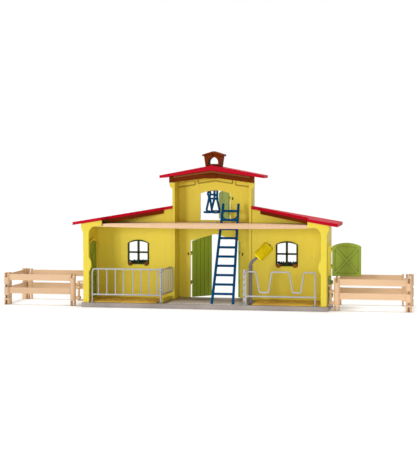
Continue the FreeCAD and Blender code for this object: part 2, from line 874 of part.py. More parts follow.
for word, side in SIDES:
    slab_low = wing_under(S.bay_half)
    slab = [(S.bay_half * side, slab_low), (roof_half * side, tip_low),
            (roof_half * side, tip_low + S.roof_thick), (S.bay_half * side, slab_low + S.roof_thick)]
    within = (S.bay_half - S.wall) * side
    before = roof_front - S.wall
    opening = [(within, before), (strip_inner * side, before), (strip_inner * side, strip_y),
               (cap_x * side, cap_y), (within, cap_y)]
    sheet_roof = prism("XZ", [slab], roof_front, wing_back + S.eave_back)
    piece(f"wing_roof_{word}", cut(sheet_roof, prism("XY", [opening], tip_low - S.wall, S.ridge_low)))
    near = cap_x + S.beam_end
    far = strip_inner - S.beam_end
    band = [(near * side, wing_under(near)), (far * side, wing_under(far)),
            (far * side, wing_under(far) - S.beam_high), (near * side, wing_under(near) - S.beam_high)]
    strip = [(near * side, diagonal(near) + S.beam_set), (far * side, diagonal(far) + S.beam_set),
             (far * side, diagonal(far) + S.beam_set + S.beam_thick),
             (near * side, diagonal(near) + S.beam_set + S.beam_thick)]
    piece(f"roof_beam_{word}", common(prism("XZ", [band], roof_front, inner_back),
                                      prism("XY", [strip], S.loft_top, S.ridge_low)))

# Tower roof and the fascia under its front edge
tower_tip_top = tower_tip + S.gable_tip_thick
tower_roof = [(-S.gable_half, tower_tip), (0, S.ridge_low), (S.gable_half, tower_tip),
              (S.gable_half, tower_tip_top), (0, ridge_top), (-S.gable_half, tower_tip_top)]
piece("tower_roof", prism("XZ", [tower_roof], bay_front - S.gable_front, facade_out + S.gable_back))
fascia_top = gable_under(fascia_half)
fascia = [(-fascia_half, fascia_end), (0, fascia_low), (fascia_half, fascia_end),
          (fascia_half, fascia_top), (0, S.ridge_low), (-fascia_half, fascia_top)]
piece("gable_fascia", prism("XZ", [fascia], bay_front - S.fascia_thick, bay_front))

# Dovecote astride the ridge
cote_mid = facade_out - S.cote_from_facade
cote_ends = (cote_mid - S.cote_deep / 2, cote_mid + S.cote_deep / 2)
cote_slope = sine(S.cote_slope_angle) / cosine(S.cote_slope_angle)
cote_ridge = ridge_top + S.cote_high
cote_sill = ridge_top + S.cote_sill_up
cote_roof_half = S.cote_top_half + S.cote_eave
cote = [(-S.cote_foot_half, gable_over(S.cote_foot_half)), (0, ridge_top),
        (S.cote_foot_half, gable_over(S.cote_foot_half)),
        (S.cote_top_half, cote_ridge - cote_slope * S.cote_top_half), (0, cote_ridge),
        (-S.cote_top_half, cote_ridge - cote_slope * S.cote_top_half)]
cote_hole = arched((-S.cote_hole_half, S.cote_hole_half), cote_sill, cote_sill + S.cote_hole_high,
                   S.cote_hole_half)
eye = rod("y", (0, cote_ends[0], cote_ridge - S.cote_eye_drop), S.cote_deep, S.cote_eye_radius)
piece("dovecote_body", cut(prism("XZ", [cote, cote_hole], *cote_ends), eye))
cote_eave = cote_ridge - cote_slope * cote_roof_half
cote_roof = [(-cote_roof_half, cote_eave), (0, cote_ridge), (cote_roof_half, cote_eave),
             (cote_roof_half, cote_eave + S.cote_roof_thick), (0, cote_ridge + S.cote_roof_thick),
             (-cote_roof_half, cote_eave + S.cote_roof_thick)]
piece("dovecote_roof", prism("XZ", [cote_roof], cote_ends[0] - S.wall, cote_ends[1] + S.wall))

# Window frames, flower boxes hooked over the sills, and plants
for word, side in SIDES:
    middle = window_mid * side
    outer_x = (middle - S.window_half, middle + S.window_half)
    outer = arched(outer_x, S.window_sill, window_spring, S.window_rise)
    pane_half = S.window_half - S.frame_wide
    inner = arched((middle - pane_half, middle + pane_half), S.window_sill + S.frame_wide, window_spring,
                   S.window_rise - S.frame_wide)
    ring = prism("XZ", [outer, inner], inner_back - S.frame_proud, wing_back + S.frame_proud)
    half = S.mullion / 2
    mullion_height = S.window_sill + S.mullion_up
    upright = block((middle - half, middle + half), (inner_back, wing_back),
                    (S.window_sill + S.frame_wide / 2, window_spring + S.window_rise - S.frame_wide / 2))
    across = block((middle - pane_half - S.frame_wide / 2, middle + pane_half + S.frame_wide / 2),
                   (inner_back, wing_back), (mullion_height - half, mullion_height + half))
    piece(f"window_frame_{word}", fuse(ring, upright, across))
    rim = S.window_sill - S.box_drop
    box_x = (middle - S.box_half, middle + S.box_half)
    box_y = (wing_back, wing_back + S.box_deep)
    room_x = (box_x[0] + S.box_wall, box_x[1] - S.box_wall)
    room_y = (box_y[0] + S.box_wall, box_y[1] - S.box_wall)
    room_low = rim - S.box_high + S.box_wall
    trough = cut(block(box_x, box_y, (rim - S.box_high, rim)), block(room_x, room_y, (room_low, rim)))
    hooks = []
    outside = wing_back + S.frame_proud
    inside = inner_back - S.frame_proud
    crossing = S.window_sill + S.frame_wide
    hook_out = pane_half - S.hook_inset - S.hook_wide / 2
    for hand in (-1, 1):
        hook_mid = middle + hook_out * hand
        hook_x = (hook_mid - S.hook_wide / 2, hook_mid + S.hook_wide / 2)
        hooks.append(block(hook_x, (outside, outside + S.hook_thick),
                           (rim - S.box_wall, crossing + S.hook_thick)))
        hooks.append(block(hook_x, (inside - S.hook_thick, outside + S.hook_thick),
                           (crossing, crossing + S.hook_thick)))
        hooks.append(block(hook_x, (inside - S.hook_thick, inside),
                           (crossing - S.hook_down, crossing + S.hook_thick)))
    piece(f"flower_box_{word}", fuse(trough, *hooks))
    bush_y = wing_back + S.frame_proud + S.hook_thick + S.bush_radius
    soil_top = rim - S.box_wall
    soil = block(room_x, room_y, (room_low, soil_top))
    bush_z = soil_top + S.bush_radius * BUSH_SHARE
    bushes = [ball(middle + S.bush_pitch * step, bush_y, bush_z, S.bush_radius) for step in BUSH_STEPS]
    above = block(box_x, (wing_back, box_y[1] + S.bush_radius), (soil_top, soil_top + S.bush_radius * 2))
    piece(f"window_plants_{word}", fuse(soil, common(fuse(*bushes), above)))


# Door leaves, drawn closed with the hinge axis upright at the origin and the leaf along X
def brace_holes(x, low, high, rise):
    """The four fields that a border and a crossed brace leave open."""
    left, right = x
    half_wide = (right - left) / 2
    half_high = (high - low) / 2
    slant = root(half_wide * half_wide + half_high * half_high)
    along = S.brace_wide / 2 * slant / half_high
    up = S.brace_wide / 2 * slant / half_wide
    middle = left + half_wide
    centre = low + half_high
    top = [(middle, centre + up), (right - along, high), (left + along, high)]
    if rise is not None:
        top[1] = (right - along, high, -rise)
    return [
        [(left + along, low), (right - along, low), (middle, centre - up)],
        [(left, low + up), (middle - along, centre), (left, high - up)],
        [(right, low + up), (right, high - up), (middle + along, centre)],
        top,
    ]


def leaf(outline, fields, out, heights, plank_z, width, both_faces):
    """A panelled door leaf with hinge knuckles; out is the side of the leaf that faces outdoors."""
    outer = -pin_out * out
    inner = outer - S.leaf_thick * out
    proud = outer + S.leaf_relief * out
    back = inner - S.leaf_relief * out if both_faces else inner
    faces = sorted((sized(outer), inner), key=lambda end: end.value)
    relief = sorted((proud, back), key=lambda end: end.value)
    panel = fuse(prism("XZ", [outline], *faces), prism("XZ", [outline, *fields], *relief))
    rooms = []
    parts = []
    bores = []
    for height in heights:
        low = height + S.knuckle_gap
        room_tall = (S.knuckle_high + S.leaf_gap) * 2
        rooms.append(rod("z", (0, 0, height - room_tall / 2), room_tall, S.knuckle_radius + S.leaf_gap))
        parts.append(rod("z", (0, 0, low), S.knuckle_high, S.knuckle_radius))
        strap_y = (outer, outer + S.strap_thick * out)
        parts.append(block((0, S.strap_long), strap_y, (low, low + S.knuckle_high)))
        bores.append(rod("z", (0, 0, low), S.knuckle_high, S.pin_radius + S.pin_clearance))
    grooves = []
    for share in () if both_faces else PLANK_SHARES:
        middle = width * share
        along = (middle - S.plank_groove / 2, middle + S.plank_groove / 2)
        grooves.append(block(along, (inner, inner + S.plank_groove_deep * out), plank_z))
    return cut(fuse(cut(panel, *rooms), *parts), *bores, *grooves)


def hang(label, obj, x, y, angle):
    turn(obj, FreeCAD.Vector(0, 0, 1), angle)
    place(obj, x, y, ZERO)
    return piece(label, obj)


def main_leaf(out):
    width = S.main_half - S.leaf_gap
    start = S.leaf_gap
    low = floor + S.leaf_gap
    jamb = S.main_jamb - S.leaf_gap
    slope = S.main_rise / S.main_half
    peak = jamb + slope * width
    outline = [(start, low), (width, low), (width, peak), (start, jamb + slope * start)]
    fields = brace_holes((start + S.leaf_border, width - S.leaf_border), low + S.leaf_border,
                         jamb - S.leaf_border, None)
    return leaf(outline, fields, out, main_heights, (low, peak), width, False)


def square_leaf(width, low, high, rise, out, heights, both_faces):
    start = S.leaf_gap
    end = width - S.leaf_gap
    outline = rectangle((start, end), (low, high))
    if rise is not None:
        outline[2] = (end, high, -rise)
    inside = (start + S.leaf_border, end - S.leaf_border)
    if rise is None:
        fields = brace_holes(inside, low + S.leaf_border, high - S.leaf_border, None)
        plank_top = high
    else:
        fields = brace_holes(inside, low + S.leaf_border, high - S.leaf_border / 2, rise / 2)
        plank_top = high + rise
    return leaf(outline, fields, out, heights, (low, plank_top), width, both_faces)


hang("main_door_left", main_leaf(1), -S.main_half, door_axis, S.main_left_angle)
hang("main_door_right", main_leaf(-1), S.main_half, door_axis, sized(180) - S.main_right_angle)
loft_leaf = square_leaf(S.loft_door_half * 2, loft_door_low + S.leaf_gap, loft_door_spring - S.leaf_gap,
                        S.loft_door_rise, -1, loft_heights, False)
hang("loft_door", loft_leaf, S.loft_door_half, door_axis, sized(180) - S.loft_open_angle)
for word, side in SIDES:
    lower_low = floor + S.doorway_sill + S.leaf_gap
    lower = square_leaf(doorway_wide, lower_low, S.split_height - S.leaf_gap / 2, None,
                        side, side_heights[:2], True)
    upper = square_leaf(doorway_wide, S.split_height + S.leaf_gap / 2, S.doorway_spring - S.leaf_gap,
                        S.doorway_rise, side, side_heights[2:], True)
    opened = S.side_open_angle if side == 1 else ZERO
    hang(f"side_door_{word}_lower", lower, side_axis * side, doorway_high, sized(270))
    hang(f"side_door_{word}_upper", upper, side_axis * side, doorway_high, sized(270) + opened)

# Ladder, drawn upright, then leaned back through the hatch and trimmed level at the feet
taper = (S.ladder_foot_half - S.ladder_top_half) / S.ladder_long
stiles = []
for _, side in SIDES:
    foot_inner = S.ladder_foot_half - S.stile_wide
    top_inner = S.ladder_top_half - S.stile_wide
    stile = [(S.ladder_foot_half * side, -S.stile_thick), (foot_inner * side, -S.stile_thick),
             (top_inner * side, S.ladder_long), (S.ladder_top_half * side, S.ladder_long)]
    stiles.append(prism("XZ", [stile], -(S.stile_thick / 2), S.stile_thick / 2))
rungs = []
rung_y = (-(S.rung_thick / 2), S.rung_thick / 2)
for step in RUNG_STEPS:
    height = S.rung_pitch * step
    half = S.ladder_foot_half - taper * height - S.stile_wide / 2
    rungs.append(block((-half, half), rung_y, (height, height + S.rung_high)))
upright_ladder = fuse(*stiles, *rungs)
turn(upright_ladder, FreeCAD.Vector(-1, 0, 0), S.ladder_lean_angle)
place(upright_ladder, S.ladder_mid, front + S.ladder_foot, floor)
ground = block((S.ladder_mid - hatch_half, S.ladder_mid + hatch_half),
               (front - S.stile_thick * 2, front + S.ladder_foot + S.stile_thick * 2), (0, floor))
piece("ladder", cut(upright_ladder, ground))

# Pen fence: a bent hoop, a lower rail, upright bars and the gate post
fence_line = front + S.fence_y


def fence_rail(low, high, height, radius):
    return rod("x", (low, fence_line, height), high - low, radius)


def foot(x):
    return rod("z", (x, fence_line, floor), S.foot_high, S.foot_radius)


hoop_rise = S.pen_top - floor
hoop_path = [(-pen_left, 0), (-pen_left, hoop_rise), (-pen_right, hoop_rise)]
hoop = tube("XZ", hoop_path, S.pen_bend, S.tube_radius)
place(hoop, 0, fence_line, floor)
pen_bars = []
for share in PEN_BAR_SHARES:
    x = -pen_left + (pen_left - pen_right) * share
    pen_bars.append(rod("z", (x, fence_line, S.pen_low), S.pen_top - S.pen_low, S.bar_radius))
gate_post = rod("z", (-pen_right, fence_line, floor), hoop_rise + S.pen_post_over, S.pen_post_radius)
piece("pen_fence", fuse(hoop, gate_post, fence_rail(-pen_left, -pen_right, S.pen_low, S.tube_radius),
                        foot(-pen_left), foot(-pen_right), *pen_bars))

# Pen gate: a rounded frame with bars, on two rings round the gate post
gate_low = S.pen_low + S.gate_up
gate_top = S.pen_top - S.gate_down
gate_mid = (gate_low + gate_top) / 2
gate_half = (gate_top - gate_low) / 2
gate_path = [(S.gate_set, 0), (S.gate_set, gate_half), (S.gate_long, gate_half), (S.gate_long, -gate_half),
             (S.gate_set, -gate_half), (S.gate_set, 0)]
gate_frame = tube("YZ", gate_path, S.pen_bend, S.tube_radius)
place(gate_frame, 0, 0, gate_mid)
gate_parts = [gate_frame]
gate_bores = []
for share in GATE_BAR_SHARES:
    station = S.gate_set + (S.gate_long - S.gate_set) * share
    gate_parts.append(rod("z", (0, station, gate_low), gate_half * 2, S.bar_radius))
for height in (gate_low + S.gate_ring_foot, gate_top - S.gate_ring_top):
    gate_parts.append(rod("z", (0, 0, height), S.gate_ring_tall, S.gate_ring_radius))
    gate_parts.append(rod("y", (0, 0, height + S.gate_ring_tall / 2), S.gate_set, S.tube_radius))
    gate_bores.append(rod("z", (0, 0, height), S.gate_ring_tall, S.pen_post_radius + S.pin_clearance))
pen_gate = cut(fuse(*gate_parts), *gate_bores)
turn(pen_gate, FreeCAD.Vector(0, 0, -1), S.gate_swing_angle)
place(pen_gate, -pen_right, fence_line, 0)
piece("pen_gate", pen_gate)

# Feed fence: one bent tube with two feeding gaps, a lower rail and a slotted end post
feed_left = S.bay_half + S.feed_from_bay
feed_right = S.barn_half - S.feed_inset
feed_span = feed_right - feed_left
feed_end = S.feed_top + S.feed_end_over
feed_gap = (S.feed_top, S.feed_dip, S.feed_dip, S.feed_top)
feed_path = [(feed_left, 0), (feed_left, S.feed_top - floor)]
for share, height in zip(FEED_SHARES, feed_gap + feed_gap):
    feed_path.append((feed_left + feed_span * share, height - floor))
feed_path += [(feed_right, S.feed_top - floor), (feed_right, 0)]
feed_tube = tube("XZ", feed_path, S.feed_bend, S.tube_radius)
place(feed_tube, 0, fence_line, floor)
end_right = feed_left - S.tube_radius / 2
end_left = end_right - S.feed_end_wide
end_loops = [rectangle((end_left, end_right), (floor, feed_end))]
for share in FEED_SLOT_SHARES:
    middle = floor + (feed_end - floor) * share
    slot_edge = (S.feed_end_wide - S.feed_slot_wide) / 2
    slot_x = (end_left + slot_edge, end_right - slot_edge)
    end_loops.append(rectangle(slot_x, (middle - S.feed_slot_high / 2, middle + S.feed_slot_high / 2)))
end_post = prism("XZ", end_loops, fence_line - S.feed_end_thick / 2, fence_line + S.feed_end_thick / 2)
piece("feed_fence", fuse(feed_tube, fence_rail(feed_left, feed_right, S.feed_low, S.tube_radius),
                         end_post, foot(feed_left), foot(feed_right)))

# Cow brush: post with a pin, swivelling arm with a spindle, roller
brush_x = S.bay_half + S.brush_from_bay
brush_line = front + S.brush_y
post_top = floor + S.brush_post_high
brush_foot = (brush_x, brush_line, floor)
piece("brush_post", fuse(rod("z", brush_foot, S.brush_post_high, S.brush_post_radius),
                         rod("z", brush_foot, S.foot_high, S.brush_post_radius + S.foot_high),
                         rod("z", (brush_x, brush_line, post_top), S.brush_pin_high, S.brush_pin_radius)))
lean = FreeCAD.Vector(0, 1, 0)
neck_low = S.brush_pin_high + S.sleeve_cap
elbow_z = neck_low + S.neck_long


def leaning(shape, distance):
    """Turns an upright shape into the arm's line and sets it out along that line from the elbow."""
    turn(shape, lean, S.brush_lean_angle)
    out = sine(S.brush_lean_angle) * distance
    up = cosine(S.brush_lean_angle) * distance
    return place(shape, out, 0, elbow_z + up)


def upright_rod(length, radius):
    return rod("z", (0, 0, 0), length, radius)


sleeve_low = S.roller_gap
sleeve = cut(rod("z", (0, 0, sleeve_low), neck_low, S.sleeve_radius),
             rod("z", (0, 0, sleeve_low), S.brush_pin_high, S.brush_pin_radius + S.pin_clearance))
neck = rod("z", (0, 0, neck_low), S.neck_long, S.arm_radius)
arm = leaning(upright_rod(S.arm_long, S.arm_radius), ZERO)
spindle_long = S.arm_long + S.roller_gap * 2 + S.roller_long
spindle = leaning(upright_rod(spindle_long + S.cap_high, S.spindle_radius), ZERO)
end_cap = leaning(upright_rod(S.cap_high, S.cap_radius), spindle_long)
brush_arm = fuse(sleeve, neck, ball(0, 0, elbow_z, S.arm_radius), arm, spindle, end_cap)
piece("brush_arm", place(brush_arm, brush_x, brush_line, post_top))
roller = cut(upright_rod(S.roller_long, S.roller_radius),
             upright_rod(S.roller_long, S.spindle_radius + S.pin_clearance))
turn(roller, lean, S.brush_lean_angle)
roller_start = S.arm_long + S.roller_gap
place(roller, brush_x + sine(S.brush_lean_angle) * roller_start, brush_line,
      post_top + elbow_z + cosine(S.brush_lean_angle) * roller_start)
piece("brush_roller", roller)

# Hoist: a boom over the loft door with a pin, and the bale sling that hangs from it
boom_low = loft_door_spring + S.loft_door_rise + S.boom_over
boom_end = facade_out + S.boom_long
boom_top = boom_low + S.boom_high
pin_y = boom_end - S.boom_high / 2
pin_z = boom_low + S.boom_high / 2
boom_x = (-S.boom_x - S.boom_wide, -S.boom_x)
hoist_mid = S.boom_x + S.boom_wide + S.hoist_gap + S.hoist_eye_wide / 2
hoist_eye = (-hoist_mid - S.hoist_eye_wide / 2, -hoist_mid + S.hoist_eye_wide / 2)
pin_long = boom_x[0] - hoist_eye[0] + S.wall
hoist_pin = rod("x", (hoist_eye[0] - S.roller_gap, pin_y, pin_z), pin_long, S.hoist_pin_radius)
piece("hoist_boom", fuse(block(boom_x, (facade_out, boom_end), (boom_low, boom_top)), hoist_pin))


def sling_point(x, z):
    return (x - hoist_mid, sized(z))


neck_z = pin_z - S.hoist_neck_drop
link_z = pin_z - S.hoist_link_drop
knot_z = pin_z - S.hoist_knot_drop
bar_z = pin_z - S.hoist_bar_drop
bar_half = S.hoist_spread + S.hoist_bar_end
left_top = sling_point(-S.hoist_half, neck_z)
right_top = sling_point(S.hoist_half, neck_z)
left_knot = sling_point(-S.hoist_half, knot_z)
right_knot = sling_point(S.hoist_half, knot_z)
sling_lines = [
    (left_top, right_top),
    (left_top, left_knot),
    (right_top, right_knot),
    (left_knot, right_knot),
    (sling_point(-S.hoist_half, link_z), sling_point(S.hoist_half, link_z)),
    (sling_point(-S.hoist_spread, bar_z), left_knot),
    (sling_point(ZERO, bar_z), left_knot),
    (sling_point(ZERO, bar_z), right_knot),
    (sling_point(S.hoist_spread, bar_z), right_knot),
    (sling_point(-bar_half, bar_z), sling_point(bar_half, bar_z)),
]
sling_parts = [strut(start, end, pin_y, S.hoist_rod_radius) for start, end in sling_lines]
sling_parts += [ball(x, pin_y, z, S.hoist_rod_radius) for x, z in (left_top, right_top)]
sling_parts.append(rod("x", (hoist_eye[0], pin_y, pin_z), S.hoist_eye_wide, S.hoist_eye_radius))
sling_parts.append(block(hoist_eye, (pin_y - S.hoist_rod_radius, pin_y + S.hoist_rod_radius),
                         (neck_z, pin_z)))
sling_bore = rod("x", (hoist_eye[0], pin_y, pin_z), S.hoist_eye_wide, S.hoist_pin_radius + S.pin_clearance)
piece("hoist_sling", cut(fuse(*sling_parts), sling_bore))

# Paddock fences: clips on the side walls and three panels on each side
clip_line = front + S.clip_y
ring_reach = S.barn_half + S.ring_radius
clip_axes = {"left": -(ring_reach + S.clip_gap_left), "right": ring_reach + S.clip_gap}
rail_low = S.ring_low + S.ring_tall + S.rail_up
ring_high = rail_low + S.rail_high + S.ring_up
rail_top = ring_high + S.ring_tall + S.rail_over
paddock_post_high = rail_top + S.rail_high + S.post_over
start_post = S.paddock_post_radius * 2 + S.post_gap
clip_low = S.ring_low - S.lug_thick - S.clip_under
clip_high = ring_high + S.ring_tall + S.clip_over
for word, side in SIDES:
    clip_x = clip_axes[word]
    lug_x = (S.barn_half * side, clip_x + S.clip_rod_radius * side)
    lug_y = (clip_line - S.lug_half, clip_line + S.lug_half)
    lugs = [block(lug_x, lug_y, (height, height + S.lug_thick)) for height in (clip_low, clip_high)]
    clip_long = clip_high + S.lug_thick - clip_low
    clip_rod = rod("z", (clip_x, clip_line, clip_low), clip_long, S.clip_rod_radius)
    piece(f"paddock_clip_{word}", fuse(clip_rod, *lugs))


def paddock_panel(length):
    """Two rails between two notched posts, snap rings at the start and ring seats in the end post."""
    rail_y = (-(S.rail_thick / 2), S.rail_thick / 2)
    rails = [block((start_post, length), rail_y, (height, height + S.rail_high))
             for height in (rail_low, rail_top)]
    posts = [rod("z", (x, 0, 0), paddock_post_high, S.paddock_post_radius) for x in (start_post, length)]
    forks = []
    for x in (start_post, length):
        for ends in ((ZERO, S.foot_notch_deep), (paddock_post_high - S.fork_deep, paddock_post_high)):
            notch_x = (x - S.fork_wide / 2, x + S.fork_wide / 2)
            forks.append(block(notch_x, (-S.paddock_post_radius, S.paddock_post_radius), ends))
    rings = []
    seats = []
    mouths = []
    for height in (S.ring_low, ring_high):
        ring = rod("z", (0, 0, height), S.ring_tall, S.ring_radius)
        rings += [ring, block((0, start_post), rail_y, (height, height + S.ring_tall))]
        mouths.append(rod("z", (0, 0, height), S.ring_tall, S.clip_rod_radius + S.pin_clearance))
        mouths.append(block((-S.ring_radius, 0), (-(S.ring_mouth / 2), S.ring_mouth / 2),
                            (height, height + S.ring_tall)))
        seat_low = height - S.ring_gap
        seat_tall = S.ring_tall + S.ring_gap * 2
        seats.append(cut(rod("z", (length, 0, seat_low), seat_tall, S.paddock_post_radius * 2),
                         rod("z", (length, 0, seat_low), seat_tall, S.clip_rod_radius)))
    return cut(fuse(*rails, *posts, *rings), *forks, *seats, *mouths)


for word, side in SIDES:
    near_x = clip_axes[word]
    far_x = near_x + S.front_panel_long * side
    far_y = clip_line + S.side_panel_long
    outward = sized(90 - 90 * side)
    homeward = sized(90 + 90 * side)
    hang(f"paddock_front_{word}", paddock_panel(S.front_panel_long), near_x, clip_line, outward)
    hang(f"paddock_side_{word}", paddock_panel(S.side_panel_long), far_x, clip_line, sized(90))
    hang(f"paddock_back_{word}", paddock_panel(S.back_panel_long), far_x, far_y, homeward)

doc.recompute()

for obj in doc.Objects:
    if "Invalid" in obj.State or "Error" in obj.State:
        raise RuntimeError(f"{obj.Name} {obj.Label} does not compute: {obj.State}")
os.makedirs("parts", exist_ok=True)
for obj in pieces:
    if obj.Shape.isNull() or not obj.Shape.isValid():
        raise RuntimeError(f"{obj.Label} has no valid shape")
    obj.Shape.exportStep(f"parts/{obj.Label}.step")
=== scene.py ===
import json
import math
import random

import bpy
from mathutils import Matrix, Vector


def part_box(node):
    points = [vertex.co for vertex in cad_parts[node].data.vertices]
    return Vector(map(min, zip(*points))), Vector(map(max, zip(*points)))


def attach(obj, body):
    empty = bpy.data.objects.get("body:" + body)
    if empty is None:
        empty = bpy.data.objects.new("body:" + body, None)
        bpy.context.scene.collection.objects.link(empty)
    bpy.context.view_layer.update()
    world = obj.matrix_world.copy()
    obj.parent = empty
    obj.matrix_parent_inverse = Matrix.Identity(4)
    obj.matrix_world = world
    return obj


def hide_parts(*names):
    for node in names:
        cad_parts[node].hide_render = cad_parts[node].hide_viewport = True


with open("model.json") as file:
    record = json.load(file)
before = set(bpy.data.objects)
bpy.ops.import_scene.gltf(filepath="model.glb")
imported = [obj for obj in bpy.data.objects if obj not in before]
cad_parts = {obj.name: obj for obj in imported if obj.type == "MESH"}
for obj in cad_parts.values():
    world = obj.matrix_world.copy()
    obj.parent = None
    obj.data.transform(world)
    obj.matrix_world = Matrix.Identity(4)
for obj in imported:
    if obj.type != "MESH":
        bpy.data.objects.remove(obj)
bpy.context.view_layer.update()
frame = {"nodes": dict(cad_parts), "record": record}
random.seed(41)
MM = 0.001
UP = Vector((0, 0, 1))
BACK = Vector((0, 1, 0))
ACROSS = Vector((1, 0, 0))
SIDES = ("left", "right")
joints = {joint["name"]: joint for joint in frame["record"]["behaviour"]["joints"]}

# Materials: moulded plastic with drifting colour, painted shade in the corners, worn edges and fine relief
CLOUD_SHARE = 0.125
CLOUD_DETAIL = 6
FINE_SHARE = 12
FINE_DETAIL = 4
FINE_DEEP = 0.4 * MM
EDGE_RADIUS = 0.7 * MM
EDGE_SAMPLES = 4
WORN_FACING = 0.8
WORN_TONE = 0.3
# Painted shade in corners: how far it reaches, its samples, and the occlusion where it is full and where it
# ends
SHADE_REACH = 3 * MM
SHADE_SAMPLES = 6
SHADE_FULL = 0.4
SHADE_NONE = 0.95
# Colour shares at the tone's ends: darkest in the painted corner shade, lightest on worn edges
DARK_SHARE = 0.42
LIGHT_SHARE = 1.12
LOW_STOP = 0.32
HIGH_STOP = 0.68
LEAST_ROUGH = 0.05
ROUGH_SPREAD = 0.09
COAT_ROUGH = 0.25
BOARD_PITCH = 16 * MM
BOARD_LINE = 0.03
BOARD_STRENGTH = 0.25
FIBRE_DEEP = 0.6 * MM
FIBRE_WAVER = 4
WAVE_DETAIL = 3
WAVE_PHASE = 20
EVEN = (1, 1, 1)
UPRIGHT = (1, 1, 0.25)
LENGTHWISE = (0.25, 1, 1)
TURNED = (1, 1, 8)
# A finish's corner darkening value is the strength of the painted shade in its corners
FINISHES = {
    "wall_yellow": dict(rgb=(230, 209, 58), rough=0.5, drift=0.05, grain=60, stretch=UPRIGHT, relief=0.1,
                        shine=0.3, painted_shade=0.35, boards="XY"),
    "roof_red": dict(rgb=(194, 0, 34), rough=0.5, drift=0.1, grain=70, stretch=LENGTHWISE, relief=0.1,
                     shine=0.06),
    "timber_brown": dict(rgb=(112, 46, 10), rough=0.6, drift=0.3, grain=90, stretch=LENGTHWISE, relief=0.25,
                         shine=0.02, fibres=("Z", 2.6 * MM, 0.2)),
    # Pale brown: the hook caps' own colour, and a painted highlight on the fascia's top strip
    "light_brown": dict(rgb=(140, 84, 40), rough=0.6, drift=0.3, grain=90, stretch=LENGTHWISE, relief=0.25,
                        shine=0.02),
    "facade_tan": dict(rgb=(228, 190, 151), rough=0.5, drift=0.09, grain=90, stretch=LENGTHWISE, relief=0.18,
                       fibres=("Z", 3.5 * MM, 0.15)),
    "door_green": dict(rgb=(147, 167, 44), rough=0.45, drift=0.1, grain=80, stretch=UPRIGHT, relief=0.2,
                       painted_shade=0.7),
    "window_green": dict(rgb=(48, 60, 5), rough=0.42, drift=0.1, grain=80, relief=0.15, shine=0.06),
    "base_grey": dict(rgb=(162, 152, 146), rough=0.6, drift=0.12, grain=110, relief=0.35, painted_shade=0.2),
    # The aisle ribs' grey is painted light: far lighter than the base's own grey, for the shaded aisle
    "aisle_lit_grey": dict(rgb=(246, 232, 224), rough=0.6, drift=0.12, grain=110, relief=0.3, painted_shade=0.1),
    "straw_ochre": dict(rgb=(255, 190, 72), rough=0.7, drift=0.22, grain=120, relief=0.5, painted_shade=0.1),
    "straw_stalk": dict(rgb=(255, 196, 88), rough=0.6, drift=0.2, grain=140, relief=0.2, painted_shade=0.1),
    "ladder_blue": dict(rgb=(0, 72, 120), rough=0.45, drift=0.09, grain=80, stretch=UPRIGHT, relief=0.12,
                        shine=0.04),
    "rail_grey": dict(rgb=(173, 174, 176), rough=0.34, drift=0.08, grain=100, relief=0.08, coat=0.2),
    "brush_yellow": dict(rgb=(255, 224, 4), rough=0.5, drift=0.06, grain=140, relief=0.2, shine=0.1,
                         painted_shade=0.1),
    "post_dark": dict(rgb=(124, 117, 126), rough=0.48, drift=0.12, grain=100, relief=0.2),
    "clip_dark": dict(rgb=(44, 36, 30), rough=0.45, drift=0.15, grain=140, relief=0.2),
    # Olive for the painted shadow lines under the gable's raised bands
    "shadow_olive": dict(rgb=(166, 138, 26), rough=0.6, drift=0.1, grain=140, relief=0.2, painted_shade=0),
    "plant_green": dict(rgb=(14, 58, 54), rough=0.5, drift=0.3, grain=160, relief=0.3),
    "pin_steel": dict(rgb=(170, 172, 176), rough=0.3, drift=0.06, grain=200, stretch=TURNED, relief=0.1,
                      metal=1.0),
}


def linear(rgb, factor):
    """A screen colour of 0 to 255, made lighter or darker by a factor, as linear light."""
    shares = [min(255, c * factor) / 255 for c in rgb]
    return tuple(c / 12.92 if c <= 0.04045 else ((c + 0.055) / 1.055) ** 2.4 for c in shares) + (1,)


def add(tree, kind, inputs=None, **settings):
    """A new node; an input given as another node's socket is linked, and any other is set."""
    node = tree.nodes.new(kind)
    for name, value in settings.items():
        setattr(node, name, value)
    for name, value in (inputs or {}).items():
        if isinstance(value, bpy.types.NodeSocket):
            tree.links.new(value, node.inputs[name])
        else:
            node.inputs[name].default_value = value
    return node


def combine(tree, operation, first, second, clamp=False):
    node = add(tree, "ShaderNodeMath", {0: first, 1: second}, operation=operation, use_clamp=clamp)
    return node.outputs["Value"]


def remap(tree, value, from_min, from_max, to_min, to_max):
    return add(tree, "ShaderNodeMapRange", {
        "Value": value, "From Min": from_min, "From Max": from_max, "To Min": to_min, "To Max": to_max,
    }).outputs["Result"]


def noise(tree, place, scale, detail):
    return add(tree, "ShaderNodeTexNoise", {"Vector": place, "Scale": scale, "Detail": detail}).outputs["Fac"]


def wave(tree, place, direction, pitch, waver):
    """Bands across one axis, a pitch in metres apart; the texture's phase grows by WAVE_PHASE per unit."""
    scale = 2 * math.pi / (WAVE_PHASE * pitch)
    return add(tree, "ShaderNodeTexWave", {
        "Vector": place, "Scale": scale, "Distortion": waver, "Detail": WAVE_DETAIL,
    }, bands_direction=direction).outputs["Fac"]


def bump(tree, height, normal, strength, distance):
    return add(tree, "ShaderNodeBump", {
        "Strength": strength, "Distance": distance, "Height": height, "Normal": normal,
    }).outputs["Normal"]


def edge_wear(tree, soft):
    """A lighter tone on edges, where the softened normal leaves the face's own."""
    flat = add(tree, "ShaderNodeNewGeometry").outputs["Normal"]
    facing = add(tree, "ShaderNodeVectorMath", {0: soft, 1: flat}, operation="DOT_PRODUCT").outputs["Value"]
    return remap(tree, facing, 1, WORN_FACING, 0, WORN_TONE)


def shade_in_corners(tree, painted_shade):
    """Painted shade: a darker tone in corners, where other surfaces are near."""
    near = add(tree, "ShaderNodeAmbientOcclusion", {"Distance": SHADE_REACH}, samples=SHADE_SAMPLES)
    return remap(tree, near.outputs["AO"], SHADE_FULL, SHADE_NONE, -painted_shade, 0)


